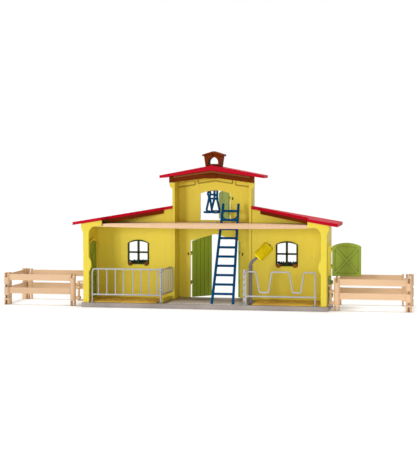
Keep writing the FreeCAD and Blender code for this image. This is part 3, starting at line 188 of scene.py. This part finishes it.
def tint(tree, tone, rgb, drift):
    """The colour for a tone, from painted shade in corners up to worn edges."""
    node = add(tree, "ShaderNodeValToRGB", {"Fac": tone})
    ramp = node.color_ramp.elements
    ramp[0].color = linear(rgb, DARK_SHARE)
    ramp[1].color = linear(rgb, LIGHT_SHARE)
    ramp.new(LOW_STOP).color = linear(rgb, 1 - drift)
    ramp.new(HIGH_STOP).color = linear(rgb, 1 + drift / 2)
    return node.outputs["Color"]


def material(name, rgb, rough, drift, grain, relief, stretch=EVEN, coat=0.0, metal=0.0, shine=0.25,
             painted_shade=0.45, boards=(), fibres=None):
    """One surface. Boards are axes with board lines across them; fibres are an axis, pitch and strength."""
    mat = bpy.data.materials.new(name)
    mat.use_nodes = True
    tree = mat.node_tree
    shader = tree.nodes["Principled BSDF"]
    place = add(tree, "ShaderNodeTexCoord").outputs["Object"]
    stretched = add(tree, "ShaderNodeMapping", {"Vector": place, "Scale": stretch}).outputs["Vector"]
    cloud = noise(tree, stretched, grain * CLOUD_SHARE, CLOUD_DETAIL)
    fine = noise(tree, stretched, grain * FINE_SHARE, FINE_DETAIL)
    soft = add(tree, "ShaderNodeBevel", {"Radius": EDGE_RADIUS}, samples=EDGE_SAMPLES).outputs["Normal"]

    worn = combine(tree, "ADD", cloud, edge_wear(tree, soft))
    # The tone adds painted shade in corners to the random drift and the worn edges
    tone = combine(tree, "ADD", worn, shade_in_corners(tree, painted_shade), clamp=True)
    gloss = remap(tree, fine, 0, 1, max(LEAST_ROUGH, rough - ROUGH_SPREAD), min(1, rough + ROUGH_SPREAD))
    normal = bump(tree, fine, soft, relief, FINE_DEEP)
    for direction in boards:
        bands = wave(tree, place, direction, BOARD_PITCH, 0)
        line = remap(tree, bands, 0, BOARD_LINE, 0, 1)
        normal = bump(tree, line, normal, BOARD_STRENGTH, FINE_DEEP)
    if fibres:
        direction, pitch, strength = fibres
        normal = bump(tree, wave(tree, place, direction, pitch, FIBRE_WAVER), normal, strength, FIBRE_DEEP)

    shader.inputs["Metallic"].default_value = metal
    shader.inputs["Specular IOR Level"].default_value = shine
    shader.inputs["Coat Weight"].default_value = coat
    shader.inputs["Coat Roughness"].default_value = COAT_ROUGH
    tree.links.new(tint(tree, tone, rgb, drift), shader.inputs["Base Color"])
    tree.links.new(gloss, shader.inputs["Roughness"])
    tree.links.new(normal, shader.inputs["Normal"])
    return mat


paints = {name: material(name, **finish) for name, finish in FINISHES.items()}
for entry in frame["record"]["subparts"]:
    node = frame["nodes"][entry["node"]]
    node.data.materials.clear()
    node.data.materials.append(paints[entry["material_slot"]])


# Pieces, each one mesh gathered from many small solids
def put(name, data):
    """A new object in the scene that holds the given data."""
    obj = bpy.data.objects.new(name, data)
    bpy.context.scene.collection.objects.link(obj)
    return obj


class Parts:
    """Small solids that become one piece."""

    def __init__(self):
        self.verts = []
        self.faces = []

    def add(self, verts, faces):
        start = len(self.verts)
        self.verts += verts
        self.faces += [tuple(start + index for index in face) for face in faces]

    def bar(self, start, end, wide, high, up=UP, taper=1.0):
        """A four-sided bar between two points."""
        along = (end - start).normalized()
        side = along.cross(up).normalized()
        rise = side.cross(along).normalized()
        ring = [(-1, -1), (1, -1), (1, 1), (-1, 1)]
        verts = [start + side * (a * wide / 2) + rise * (b * high / 2) for a, b in ring]
        verts += [end + side * (a * wide / 2 * taper) + rise * (b * high / 2 * taper) for a, b in ring]
        faces = [(0, 3, 2, 1), (4, 5, 6, 7)]
        faces += [(n, (n + 1) % 4, (n + 1) % 4 + 4, n + 4) for n in range(4)]
        self.add(verts, faces)

    def rings(self, centres, directions, radii, around, closed=False):
        """A round skin through rings, each with a centre, a direction and a radius."""
        verts = []
        side = directions[0].orthogonal().normalized()
        for centre, along, radius in zip(centres, directions, radii):
            side = (side - along * side.dot(along)).normalized()
            over = along.cross(side)
            for step in range(around):
                angle = 2 * math.pi * step / around
                verts.append(centre + (side * math.cos(angle) + over * math.sin(angle)) * radius)
        faces = []
        if not closed:
            faces += [tuple(reversed(range(around))), tuple(range(len(verts) - around, len(verts)))]
        for ring in range(len(centres) if closed else len(centres) - 1):
            start = ring * around
            following = (ring + 1) % len(centres) * around
            for step in range(around):
                beside = (step + 1) % around
                faces.append((start + step, start + beside, following + beside, following + step))
        self.add(verts, faces)

    def tube(self, path, radii, around=20):
        """A round tube through points, with a radius at each and flat ends."""
        last = len(path) - 1
        directions = []
        for n in range(last + 1):
            directions.append((path[min(n + 1, last)] - path[max(n - 1, 0)]).normalized())
        self.rings(path, directions, radii, around)

    def hoop(self, middle, across, over, radius, around=12, steps=32):
        """A closed ring of round wire; across and over are its half axes."""
        turns = [2 * math.pi * step / steps for step in range(steps)]
        centres = [middle + across * math.cos(a) + over * math.sin(a) for a in turns]
        directions = [(over * math.cos(a) - across * math.sin(a)).normalized() for a in turns]
        self.rings(centres, directions, [radius] * steps, around, closed=True)

    def lathe(self, foot, axis, profile, around=32):
        """A turned solid; the profile is a list of a height along the axis and a radius."""
        centres = [foot + axis * height for height, _ in profile]
        self.rings(centres, [axis] * len(profile), [radius for _, radius in profile], around)

    def piece(self, name, body, slot, paint=None):
        """One object of all that was added, in its slot's own paint unless another is named."""
        data = bpy.data.meshes.new(name)
        data.from_pydata([tuple(vert) for vert in self.verts], [], self.faces)
        data.update()
        data.materials.append(paints[paint or slot])
        obj = put(name, data)
        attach(obj, body)
        return obj


def smooth(obj, limit=40):
    """Shades an object's faces smooth, apart from edges sharper than a limit in degrees."""
    obj.data.shade_smooth()
    obj.data.set_sharp_from_angle(angle=math.radians(limit))
    return obj


def profile_mm(spots):
    """A lathe profile given in millimetres."""
    return [(height * MM, radius * MM) for height, radius in spots]


def draw_mm(span):
    """A random length from a span in millimetres."""
    return random.uniform(*span) * MM


# Bristled roller in place of the plain drum, measured on the drum itself
CORE_SHARE = 0.55
ROOT_SHARE = 0.95
RIM_SHARE = 0.86
RIM_THICK = 1.6 * MM
RIM_CLEAR = 2.72 * MM
DRUM_SIDES = 48
BRISTLE_ROWS = 11
BRISTLES_AROUND = 36
BRISTLE_WIDE = 1.8 * MM
BRISTLE_HIGH = 1.7 * MM
BRISTLE_TAPER = 0.95
BRISTLE_TURN = 0.03
BRISTLE_SHIFT_MM = (-0.15, 0.15)
BRISTLE_SHORT_MM = (0.05, 0.4)
roller_axis = Vector(joints["brush_roller_spin"]["axis"]).normalized()
roller_middle = Vector(joints["brush_roller_spin"]["pos_m"])
spots = [vert.co - roller_middle for vert in frame["nodes"]["brush_roller"].data.vertices]
roller_low = min(spot.dot(roller_axis) for spot in spots)
roller_high = max(spot.dot(roller_axis) for spot in spots)
roller_reach = max((spot - roller_axis * spot.dot(roller_axis)).length for spot in spots)
roller_across = roller_axis.cross(BACK).normalized()
roller_over = roller_axis.cross(roller_across).normalized()
roller_foot = roller_middle + roller_axis * roller_low
roller_long = roller_high - roller_low
core_radius = roller_reach * CORE_SHARE
root_radius = core_radius * ROOT_SHARE
rim_radius = roller_reach * RIM_SHARE
row_pitch = (roller_long - RIM_CLEAR * 2) / (BRISTLE_ROWS - 1)
drum = Parts()
drum.lathe(roller_foot, roller_axis, [
    (0, rim_radius), (RIM_THICK, rim_radius), (RIM_THICK, core_radius),
    (roller_long - RIM_THICK, core_radius), (roller_long - RIM_THICK, rim_radius), (roller_long, rim_radius),
], DRUM_SIDES)
for row in range(BRISTLE_ROWS):
    height = RIM_CLEAR + row * row_pitch
    for n in range(BRISTLES_AROUND):
        angle = 2 * math.pi * n / BRISTLES_AROUND + random.uniform(-BRISTLE_TURN, BRISTLE_TURN)
        out = roller_across * math.cos(angle) + roller_over * math.sin(angle)
        along = height + draw_mm(BRISTLE_SHIFT_MM)
        root = roller_foot + roller_axis * along + out * root_radius
        tip = root + out * (roller_reach - root_radius - draw_mm(BRISTLE_SHORT_MM))
        drum.bar(root, tip, BRISTLE_WIDE, BRISTLE_HIGH, roller_axis, BRISTLE_TAPER)
bristles = drum.piece("brush_bristles", "brush_roller", "brush_yellow")
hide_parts("brush_roller")

# Curved arm from the post's sleeve to the roller, in place of the plain bent rod
SLEEVE_MM = ((0, 3.4), (0.4, 4.0), (3.0, 4.0), (3.4, 3.7), (11.4, 3.7), (11.8, 4.0), (14.4, 4.0), (15.0, 3.5))
SPINDLE_CAP_MM = ((0, 2.2), (0.4, 2.6), (1.1, 2.6), (1.5, 2.1))
SPINDLE_GAP = 0.4 * MM
BEND_FOOT = 14 * MM
BEND_RISE = 9 * MM
ARM_FOOT_RADIUS = 3.4 * MM
ARM_TIP_RADIUS = 2.5 * MM
ARM_GAP = 0.3 * MM
ARM_STEPS = 18
arm_foot = Vector(joints["brush_arm_swivel"]["pos_m"])
sleeve_start = Vector((arm_foot.x, arm_foot.y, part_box("brush_arm")[0].z))
bend_start = sleeve_start + UP * BEND_FOOT
bend_middle = bend_start + UP * BEND_RISE
bend_end = roller_foot - roller_axis * ARM_GAP
arm = Parts()
arm.lathe(sleeve_start, UP, profile_mm(SLEEVE_MM))
arm_path = []
arm_radii = []
for step in range(ARM_STEPS + 1):
    share = step / ARM_STEPS
    rest = 1 - share
    arm_path.append(bend_start * rest ** 2 + bend_middle * (2 * share * rest) + bend_end * share ** 2)
    arm_radii.append(ARM_FOOT_RADIUS * rest + ARM_TIP_RADIUS * share)
arm.tube(arm_path, arm_radii)
spindle_end = roller_middle + roller_axis * (roller_high + SPINDLE_GAP)
arm.lathe(spindle_end, roller_axis, profile_mm(SPINDLE_CAP_MM))
trunk = smooth(arm.piece("brush_trunk", "brush_arm", "post_dark"))
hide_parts("brush_arm")

# Leafy plants on lumpy soil, in place of the round bushes
LEAVES = 230
LEAF_EDGE = 4 * MM
LEAF_INNER = 1.4 * MM
LEAF_OUTER = 0.4 * MM
LEAF_OVER = 2 * MM
LEAF_ROOT_MM = (-3, 3)
LEAF_LIFT_MM = (1, 8)
LEAF_REACH_MM = (2.4, 3.6)
LEAF_RISE_MM = (2.0, 5.0)
LEAF_WIDE_MM = (1.0, 1.5)
LEAF_FOLD_MM = (0.3, 0.7)
LEAF_TILT = 0.3
LEAF_BROADEST = 0.55
LEAF_CREST = 0.3
LEAF_HALF_THICK = 0.35 * MM
BOX_HIGH = 12 * MM
SOIL_DROP = 1.6 * MM
SOIL_SINK = 0.6 * MM
SOIL_LUMP_MM = (-0.7, 0.6)
SOIL_COLUMNS = 24
SOIL_ROWS = 5


def add_leaf(leaves, root, tip):
    """Adds a folded leaf with a thickness of its own."""
    along = tip - root
    wide = draw_mm(LEAF_WIDE_MM)
    fold = draw_mm(LEAF_FOLD_MM)
    tilted = Vector((random.uniform(-LEAF_TILT, LEAF_TILT), random.uniform(-LEAF_TILT, LEAF_TILT), 1))
    side = along.cross(tilted).normalized() * wide
    lift = side.cross(along).normalized() * fold
    middle = root + along * LEAF_BROADEST
    thick = lift.normalized() * LEAF_HALF_THICK
    top = [root, middle + side - lift, tip, middle - side - lift, middle + lift * LEAF_CREST]
    verts = [point + thick for point in top] + [point - thick for point in top]
    count = len(top)
    rim = count - 1
    upper = [(n, (n + 1) % rim, rim) for n in range(rim)]
    faces = upper + [tuple(n + count for n in reversed(face)) for face in upper]
    faces += [(n, n + count, (n + 1) % rim + count, (n + 1) % rim) for n in range(rim)]
    leaves.add(verts, faces)


def soil_bed(low, high, height):
    """A lumpy sheet of soil between two corners."""
    verts = []
    for row in range(SOIL_ROWS + 1):
        for column in range(SOIL_COLUMNS + 1):
            edge = row in (0, SOIL_ROWS) or column in (0, SOIL_COLUMNS)
            lump = 0 if edge else draw_mm(SOIL_LUMP_MM)
            x = low.x + (high.x - low.x) * column / SOIL_COLUMNS
            y = low.y + (high.y - low.y) * row / SOIL_ROWS
            verts.append(Vector((x, y, height + lump)))
    faces = []
    for row in range(SOIL_ROWS):
        for column in range(SOIL_COLUMNS):
            corner = row * (SOIL_COLUMNS + 1) + column
            faces.append((corner, corner + 1, corner + SOIL_COLUMNS + 2, corner + SOIL_COLUMNS + 1))
    bed = Parts()
    bed.add(verts, faces)
    return bed


for word in SIDES:
    low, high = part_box(f"window_plants_{word}")
    soil_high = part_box(f"flower_box_{word}")[0].z + BOX_HIGH - SOIL_DROP
    middle_y = (low.y + high.y) / 2
    leaves = Parts()
    for _ in range(LEAVES):
        x = random.uniform(low.x + LEAF_EDGE, high.x - LEAF_EDGE)
        root = Vector((x, middle_y + draw_mm(LEAF_ROOT_MM), soil_high + draw_mm(LEAF_LIFT_MM)))
        angle = random.uniform(0, 2 * math.pi)
        reach = draw_mm(LEAF_REACH_MM)
        rise = draw_mm(LEAF_RISE_MM)
        tip = root + Vector((math.cos(angle) * reach, math.sin(angle) * reach, rise))
        tip.y = min(max(tip.y, low.y + LEAF_INNER), high.y - LEAF_OUTER)
        tip.z = min(tip.z, high.z + LEAF_OVER)
        add_leaf(leaves, root, tip)
    soil = soil_bed(low, high, soil_high - SOIL_SINK)
    soil.piece(f"plant_bed_{word}", "barn", "timber_brown")
    plant = leaves.piece(f"plant_leaves_{word}", "barn", "plant_green")
    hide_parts(f"window_plants_{word}")

# Straw stalks pressed into the stall mats
STALKS = 700
MAT_EDGE = 8 * MM
STALK_HALF_MM = (3, 7)
STALK_LIFT_MM = (-0.1, 0.5)
STALK_TILT_MM = (-0.4, 0.4)
STALK_WIDE_MM = (0.5, 0.9)
STALK_HIGH = 0.5 * MM
for word in SIDES:
    low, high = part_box(f"straw_mat_{word}")
    stalks = Parts()
    for _ in range(STALKS):
        angle = random.uniform(0, math.pi)
        half = Vector((math.cos(angle), math.sin(angle), 0)) * draw_mm(STALK_HALF_MM)
        x = random.uniform(low.x + MAT_EDGE, high.x - MAT_EDGE)
        y = random.uniform(low.y + MAT_EDGE, high.y - MAT_EDGE)
        middle = Vector((x, y, high.z + draw_mm(STALK_LIFT_MM)))
        tilt = UP * draw_mm(STALK_TILT_MM)
        stalks.bar(middle - half - tilt, middle + half + tilt, draw_mm(STALK_WIDE_MM), STALK_HIGH)
    stalks.piece(f"straw_stalks_{word}", "barn", "straw_ochre", "straw_stalk")

# Diagonal ribs on the aisle floor, painted far lighter than the base as painted light in the shaded aisle
RIB_PITCH = 9 * MM
RIB_WIDE = 3.2 * MM
RIB_HIGH = 0.7 * MM
RIB_LIFT = 0.25 * MM
AISLE_DEEP = 66 * MM
AISLE_SIDE = 3 * MM
AISLE_FRONT = 7 * MM
aisle_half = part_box("tower_wall_right")[0].x - AISLE_SIDE
aisle_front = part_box("side_wall_right")[0].y + AISLE_FRONT
rib_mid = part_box("straw_mat_left")[0].z + RIB_LIFT
rib_reach = math.ceil((aisle_half + AISLE_DEEP) / RIB_PITCH)
ribs = Parts()
for n in range(-rib_reach, rib_reach + 1):
    start_x = n * RIB_PITCH - AISLE_DEEP / 2
    first = max(0, -aisle_half - start_x)
    last = min(AISLE_DEEP, aisle_half - start_x)
    if last - first > RIB_PITCH:
        start = Vector((start_x + first, aisle_front + first, rib_mid))
        end = Vector((start_x + last, aisle_front + last, rib_mid))
        ribs.bar(start, end, RIB_WIDE, RIB_HIGH)
ribs.piece("aisle_ribs", "barn", "base_grey", "aisle_lit_grey")

# Dark spring clips in the three slots of the facade, each beside a door's hinge line
SLOT_OUT = 4.7 * MM
MAIN_SLOT = 100.5 * MM
LOFT_SLOT = 216 * MM
CLIP_WIDE = 2.3 * MM
CLIP_HIGH = 5.6 * MM
CLIP_LONG = 4.4 * MM
CLIP_SET = 2.2 * MM
CLIP_TAPER = 0.9
CLIPS = (("main_door_left_hinge", -1, MAIN_SLOT), ("main_door_right_hinge", 1, MAIN_SLOT),
         ("loft_door_hinge", 1, LOFT_SLOT))
clips = Parts()
for name, side, height in CLIPS:
    hinge = Vector(joints[name]["pos_m"])
    outer = Vector((hinge.x + SLOT_OUT * side, hinge.y - CLIP_SET, height))
    clips.bar(outer - BACK * CLIP_LONG, outer, CLIP_WIDE, CLIP_HIGH, taper=CLIP_TAPER)
clips.piece("door_clips", "barn", "post_dark", "clip_dark")

# Rounded corners between the ladder's stiles and the rung above the loft floor
LADDER_LEAN = math.radians(27.9)
STILE_HALF = 2.5 * MM
RUNG_TOP = 187.5 * MM
RUNG_HALF = 15.2 * MM
CORNER = 9 * MM
CORNER_STEPS = 6
CORNER_THICK = 2.2 * MM
ladder_low, ladder_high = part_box("ladder")
climb = Vector((0, math.sin(LADDER_LEAN), math.cos(LADDER_LEAN)))
ladder_foot = Vector(((ladder_low.x + ladder_high.x) / 2,
                      ladder_low.y + STILE_HALF / math.cos(LADDER_LEAN), ladder_low.z))
gussets = Parts()
for side in (-1, 1):
    corner = ladder_foot + climb * RUNG_TOP + ACROSS * (RUNG_HALF * side)
    curve = []
    for step in range(CORNER_STEPS + 1):
        angle = math.pi / 2 * step / CORNER_STEPS
        inward = CORNER * (1 - math.sin(angle))
        upward = CORNER * (1 - math.cos(angle))
        curve.append(corner - ACROSS * (inward * side) + climb * upward)
    for start, end in zip(curve, curve[1:]):
        gussets.bar(start, end, CORNER_THICK, CORNER_THICK, BACK)
gussets.piece("ladder_gussets", "barn", "ladder_blue")

# Bale sling of moulded straps, in place of the plain rods; each spot is an offset and a drop from its pin
STRAP = 2.3 * MM
LINK = 2.0 * MM
WIRE = 1.8 * MM
EYE_RADIUS = 2.3 * MM
EYE_WIRE = 0.9 * MM
STEM = 1.5 * MM
TOP_LINK_MM = 7.2
STEM_MM = ((0, 3), (0, TOP_LINK_MM))
STRANDS_MM = (
    ((-5.5, 6), (-8, 15.5), (-5.2, 21.5), (-6.2, 28), (-10.4, 47), (-9.5, 52)),
    ((-4.5, 7), (-2.4, 14), (-4.2, 22.5), (-2.6, 28), (0.4, 47), (0.4, 52)),
    ((6.1, 6), (6.1, 22.5), (5.4, 27), (0.8, 45), (0.4, 52)),
    ((12, 6), (11.8, 26), (17.2, 50)),
)
LINKS_MM = (
    ((-5.5, TOP_LINK_MM), (12, TOP_LINK_MM)),
    ((-2.4, 16.5), (6.1, 16.5)),
    ((-3.5, 24.5), (11.8, 25.5)),
)
KNOTS_MM = ((-4.8, 21.5), (9, 17.5), (11.8, 25.5), (-5.8, 52))
KNOT_HALF_MM = 2.6
KNOT_PROFILE_MM = ((0, 2.6), (0.8, 3.0), (4.4, 3.0), (2 * KNOT_HALF_MM, 2.6))
FOOT_HALF = 8.3 * MM
FOOT_DEEP_MM = 1.8
FEET_MM = ((8.9, 52.4, 1.9), (-7.4, 53.2, 0.7))
pin = Vector(joints["hoist_sling_swing"]["pos_m"])


def sling_spot(out, drop):
    return pin + Vector((out, 0, -drop)) * MM


sling = Parts()
sling.hoop(pin, BACK * EYE_RADIUS, UP * EYE_RADIUS, EYE_WIRE)
sling.tube([sling_spot(*spot) for spot in STEM_MM], [STEM, LINK])
for strand in STRANDS_MM:
    sling.tube([sling_spot(*spot) for spot in strand], [STRAP] * len(strand))
for ends in LINKS_MM:
    sling.tube([sling_spot(*spot) for spot in ends], [LINK, LINK])
for out, drop in KNOTS_MM:
    sling.lathe(sling_spot(out, drop + KNOT_HALF_MM), UP, profile_mm(KNOT_PROFILE_MM))
for out, drop, lift in FEET_MM:
    sling.hoop(sling_spot(out, drop), ACROSS * FOOT_HALF, Vector((0, FOOT_DEEP_MM, lift)) * MM, WIRE)
straps = smooth(sling.piece("sling_straps", "hoist_sling", "ladder_blue"))
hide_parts("hoist_sling")

# Caps on the flower boxes' hooks inside the windows
CAP_WIDE = 8.4 * MM
CAP_DEEP = 2.2 * MM
CAP_HIGH = 7 * MM
CAP_TAPER = 0.8
LIP_DEPTH = 0.1 * MM
for word in SIDES:
    box_low, box_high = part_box(f"flower_box_{word}")
    window_x = (box_low.x + box_high.x) / 2
    spots = [vert.co for vert in frame["nodes"][f"flower_box_{word}"].data.vertices]
    lips = [abs(spot.x - window_x) for spot in spots if spot.y < box_low.y + LIP_DEPTH]
    hook_out = (min(lips) + max(lips)) / 2
    caps = Parts()
    for side in (-1, 1):
        top = Vector((window_x + hook_out * side, box_low.y + CAP_DEEP / 4, box_high.z))
        caps.bar(top, top - UP * CAP_HIGH, CAP_DEEP, CAP_WIDE, ACROSS, CAP_TAPER)
    caps.piece(f"hook_caps_{word}", "barn", "timber_brown", "light_brown")

# Glazing bars round the windows' thin mullions
BAR_UP = 25 * MM
BAR_WIDE = 4.2 * MM
BAR_HIGH = 3.6 * MM
BAR_SET = 0.6 * MM
BAR_END = 1.5 * MM
for word in SIDES:
    low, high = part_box(f"window_frame_{word}")
    middle = (low + high) / 2
    deep = high.y - low.y - BAR_SET * 2
    foot = Vector((middle.x, middle.y, low.z + BAR_END))
    head = Vector((middle.x, middle.y, high.z - BAR_END))
    start = Vector((low.x + BAR_END, middle.y, low.z + BAR_UP))
    end = Vector((high.x - BAR_END, middle.y, low.z + BAR_UP))
    bars = Parts()
    bars.bar(foot, head, deep, BAR_WIDE, ACROSS)
    bars.bar(start, end, deep, BAR_HIGH)
    bars.piece(f"window_bars_{word}", "barn", "window_green")

# Painted shadow: olive lines along the lower edges and ends of the raised bands inside the gable
GABLE_SLOPE = 0.1464
BAND_PEAK = 252.27 * MM
BAND_MIDDLE = 36 * MM
BAND_NEAR = 43 * MM
BAND_FAR = 77 * MM
BAND_STEP = 1.75 * MM
BAND_END = 7 * MM
LINE_DEEP = 1.2 * MM
LINE_HIGH = 2.4 * MM
LINE_WIDE = 1.6 * MM
LINE_PROUD = 0.1 * MM
band_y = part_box("facade")[0].y - LINE_PROUD


def band_spot(x, drop):
    return Vector((x, band_y, BAND_PEAK - GABLE_SLOPE * abs(x) - drop))


lines = Parts()
for side in (-1, 1):
    middle_end = band_spot(BAND_MIDDLE * side, 0)
    outer_end = band_spot(BAND_NEAR * side, BAND_STEP)
    lines.bar(band_spot(0, 0), middle_end, LINE_DEEP, LINE_HIGH)
    lines.bar(outer_end, band_spot(BAND_FAR * side, BAND_STEP), LINE_DEEP, LINE_HIGH)
    for end in (middle_end, outer_end):
        lines.bar(end, end + UP * BAND_END, LINE_DEEP, LINE_WIDE, ACROSS)
lines.piece("band_shadow_lines", "barn", "wall_yellow", "shadow_olive")

# Relief on the gable's fascia: a raised strip under the roof whose lighter brown is a painted highlight, a
# block at each end and one in the middle
FASCIA_BOW = 11 * MM
RELIEF_DEEP = 1.4 * MM
STRIP_DROP = 2.4 * MM
STRIP_HIGH = 3.4 * MM
END_WIDE = 9 * MM
END_DROP = 1 * MM
END_LIFT = 0.5 * MM
MIDDLE_WIDE = 23 * MM
MIDDLE_HIGH = 8 * MM
MIDDLE_DROP = 2.2 * MM
fascia_low, fascia_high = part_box("gable_fascia")


def fascia_spot(x, drop):
    return Vector((x, fascia_low.y, fascia_high.z - GABLE_SLOPE * abs(x) - drop))


strip = Parts()
blocks = Parts()
for side in (-1, 1):
    strip_end = fascia_spot((fascia_high.x - END_WIDE) * side, STRIP_DROP)
    strip.bar(fascia_spot(0, STRIP_DROP), strip_end, RELIEF_DEEP, STRIP_HIGH)
    block_top = fascia_spot((fascia_high.x - END_WIDE / 2) * side, END_DROP)
    block_foot = Vector((block_top.x, block_top.y, fascia_low.z + END_LIFT))
    blocks.bar(block_top, block_foot, RELIEF_DEEP, END_WIDE, ACROSS)
middle_low = fascia_low.z + FASCIA_BOW - MIDDLE_DROP
middle_spot = Vector((0, fascia_low.y, middle_low + MIDDLE_HIGH / 2))
half = ACROSS * (MIDDLE_WIDE / 2)
blocks.bar(middle_spot - half, middle_spot + half, RELIEF_DEEP, MIDDLE_HIGH)
# The strip's lighter brown is a painted highlight
strip.piece("fascia_highlight_strip", "barn", "timber_brown", "light_brown")
blocks.piece("fascia_blocks", "barn", "timber_brown")

# Floor
FLOOR_HALF = 40
FLOOR_WHITE = 0.97
FLOOR_ROUGH = 0.9
floor_corners = [(FLOOR_HALF * a, FLOOR_HALF * b, 0) for a, b in ((-1, -1), (1, -1), (1, 1), (-1, 1))]
floor_data = bpy.data.meshes.new("floor")
floor_data.from_pydata(floor_corners, [], [(0, 1, 2, 3)])
white = bpy.data.materials.new("floor_white")
white.use_nodes = True
paint = white.node_tree.nodes["Principled BSDF"]
paint.inputs["Base Color"].default_value = (FLOOR_WHITE, FLOOR_WHITE, FLOOR_WHITE, 1)
paint.inputs["Roughness"].default_value = FLOOR_ROUGH
paint.inputs["Specular IOR Level"].default_value = 0
floor_data.materials.append(white)
floor = put("floor", floor_data)

# Lamps: an even light from above that keeps the floor white, and two in front, the stronger from the left
LAMP_TARGET = (0, 0, 0.12)


def lamp(name, kind, place, target, power, **settings):
    """A lamp that points at a target; the settings are those of its kind of light."""
    data = bpy.data.lights.new(name, kind)
    data.energy = power
    for key, value in settings.items():
        setattr(data, key, value)
    obj = put(name, data)
    obj.location = place
    obj.rotation_euler = (Vector(target) - Vector(place)).to_track_quat("-Z", "Y").to_euler()


lamp("overhead", "SUN", place=(0, 0, 3), target=(0, 0, 0), power=2.4, angle=math.radians(30))
lamp("key", "AREA", place=(-1.2, -2.6, 0.4), target=LAMP_TARGET, power=25, shape="DISK", size=0.7)
lamp("fill", "AREA", place=(0.5, -2.9, 0.3), target=LAMP_TARGET, power=13, shape="DISK", size=1.0)

# Surround that is white to the camera, in reflections and through clear parts, and lights the rest dimly
WHITE = (1, 1, 1, 1)
DIM = 0.28
world = bpy.data.worlds.new("studio")
bpy.context.scene.world = world
world.use_nodes = True
tree = world.node_tree
light = tree.nodes["Background"]
light.inputs["Color"].default_value = WHITE
light.inputs["Strength"].default_value = DIM
seen = add(tree, "ShaderNodeBackground", {"Color": WHITE, "Strength": 1})
rays = add(tree, "ShaderNodeLightPath").outputs
shows = rays["Is Camera Ray"]
for kind in ("Is Glossy Ray", "Is Transmission Ray"):
    shows = combine(tree, "MAXIMUM", shows, rays[kind])
choose = add(tree, "ShaderNodeMixShader", {
    "Fac": shows, 1: light.outputs["Background"], 2: seen.outputs["Background"],
})
tree.links.new(choose.outputs["Shader"], tree.nodes["World Output"].inputs["Surface"])

# Camera at the photograph's place
CAMERA_PLACE = (0.4937, -2.6747, 0.2931)
CAMERA_TURN = math.radians(10.42)
CAMERA_DOWN = math.radians(2.89)
SENSOR_MM = 36
LENS_MM = 106.13
FARTHEST = 100
scene = bpy.context.scene
scene.view_settings.view_transform = "Standard"
lens = bpy.data.cameras.new("camera")
lens.sensor_width = SENSOR_MM
lens.lens = LENS_MM
lens.clip_end = FARTHEST
camera = put("camera", lens)
camera.location = CAMERA_PLACE
camera.rotation_euler = (math.pi / 2 - CAMERA_DOWN, 0, CAMERA_TURN)
scene.camera = camera
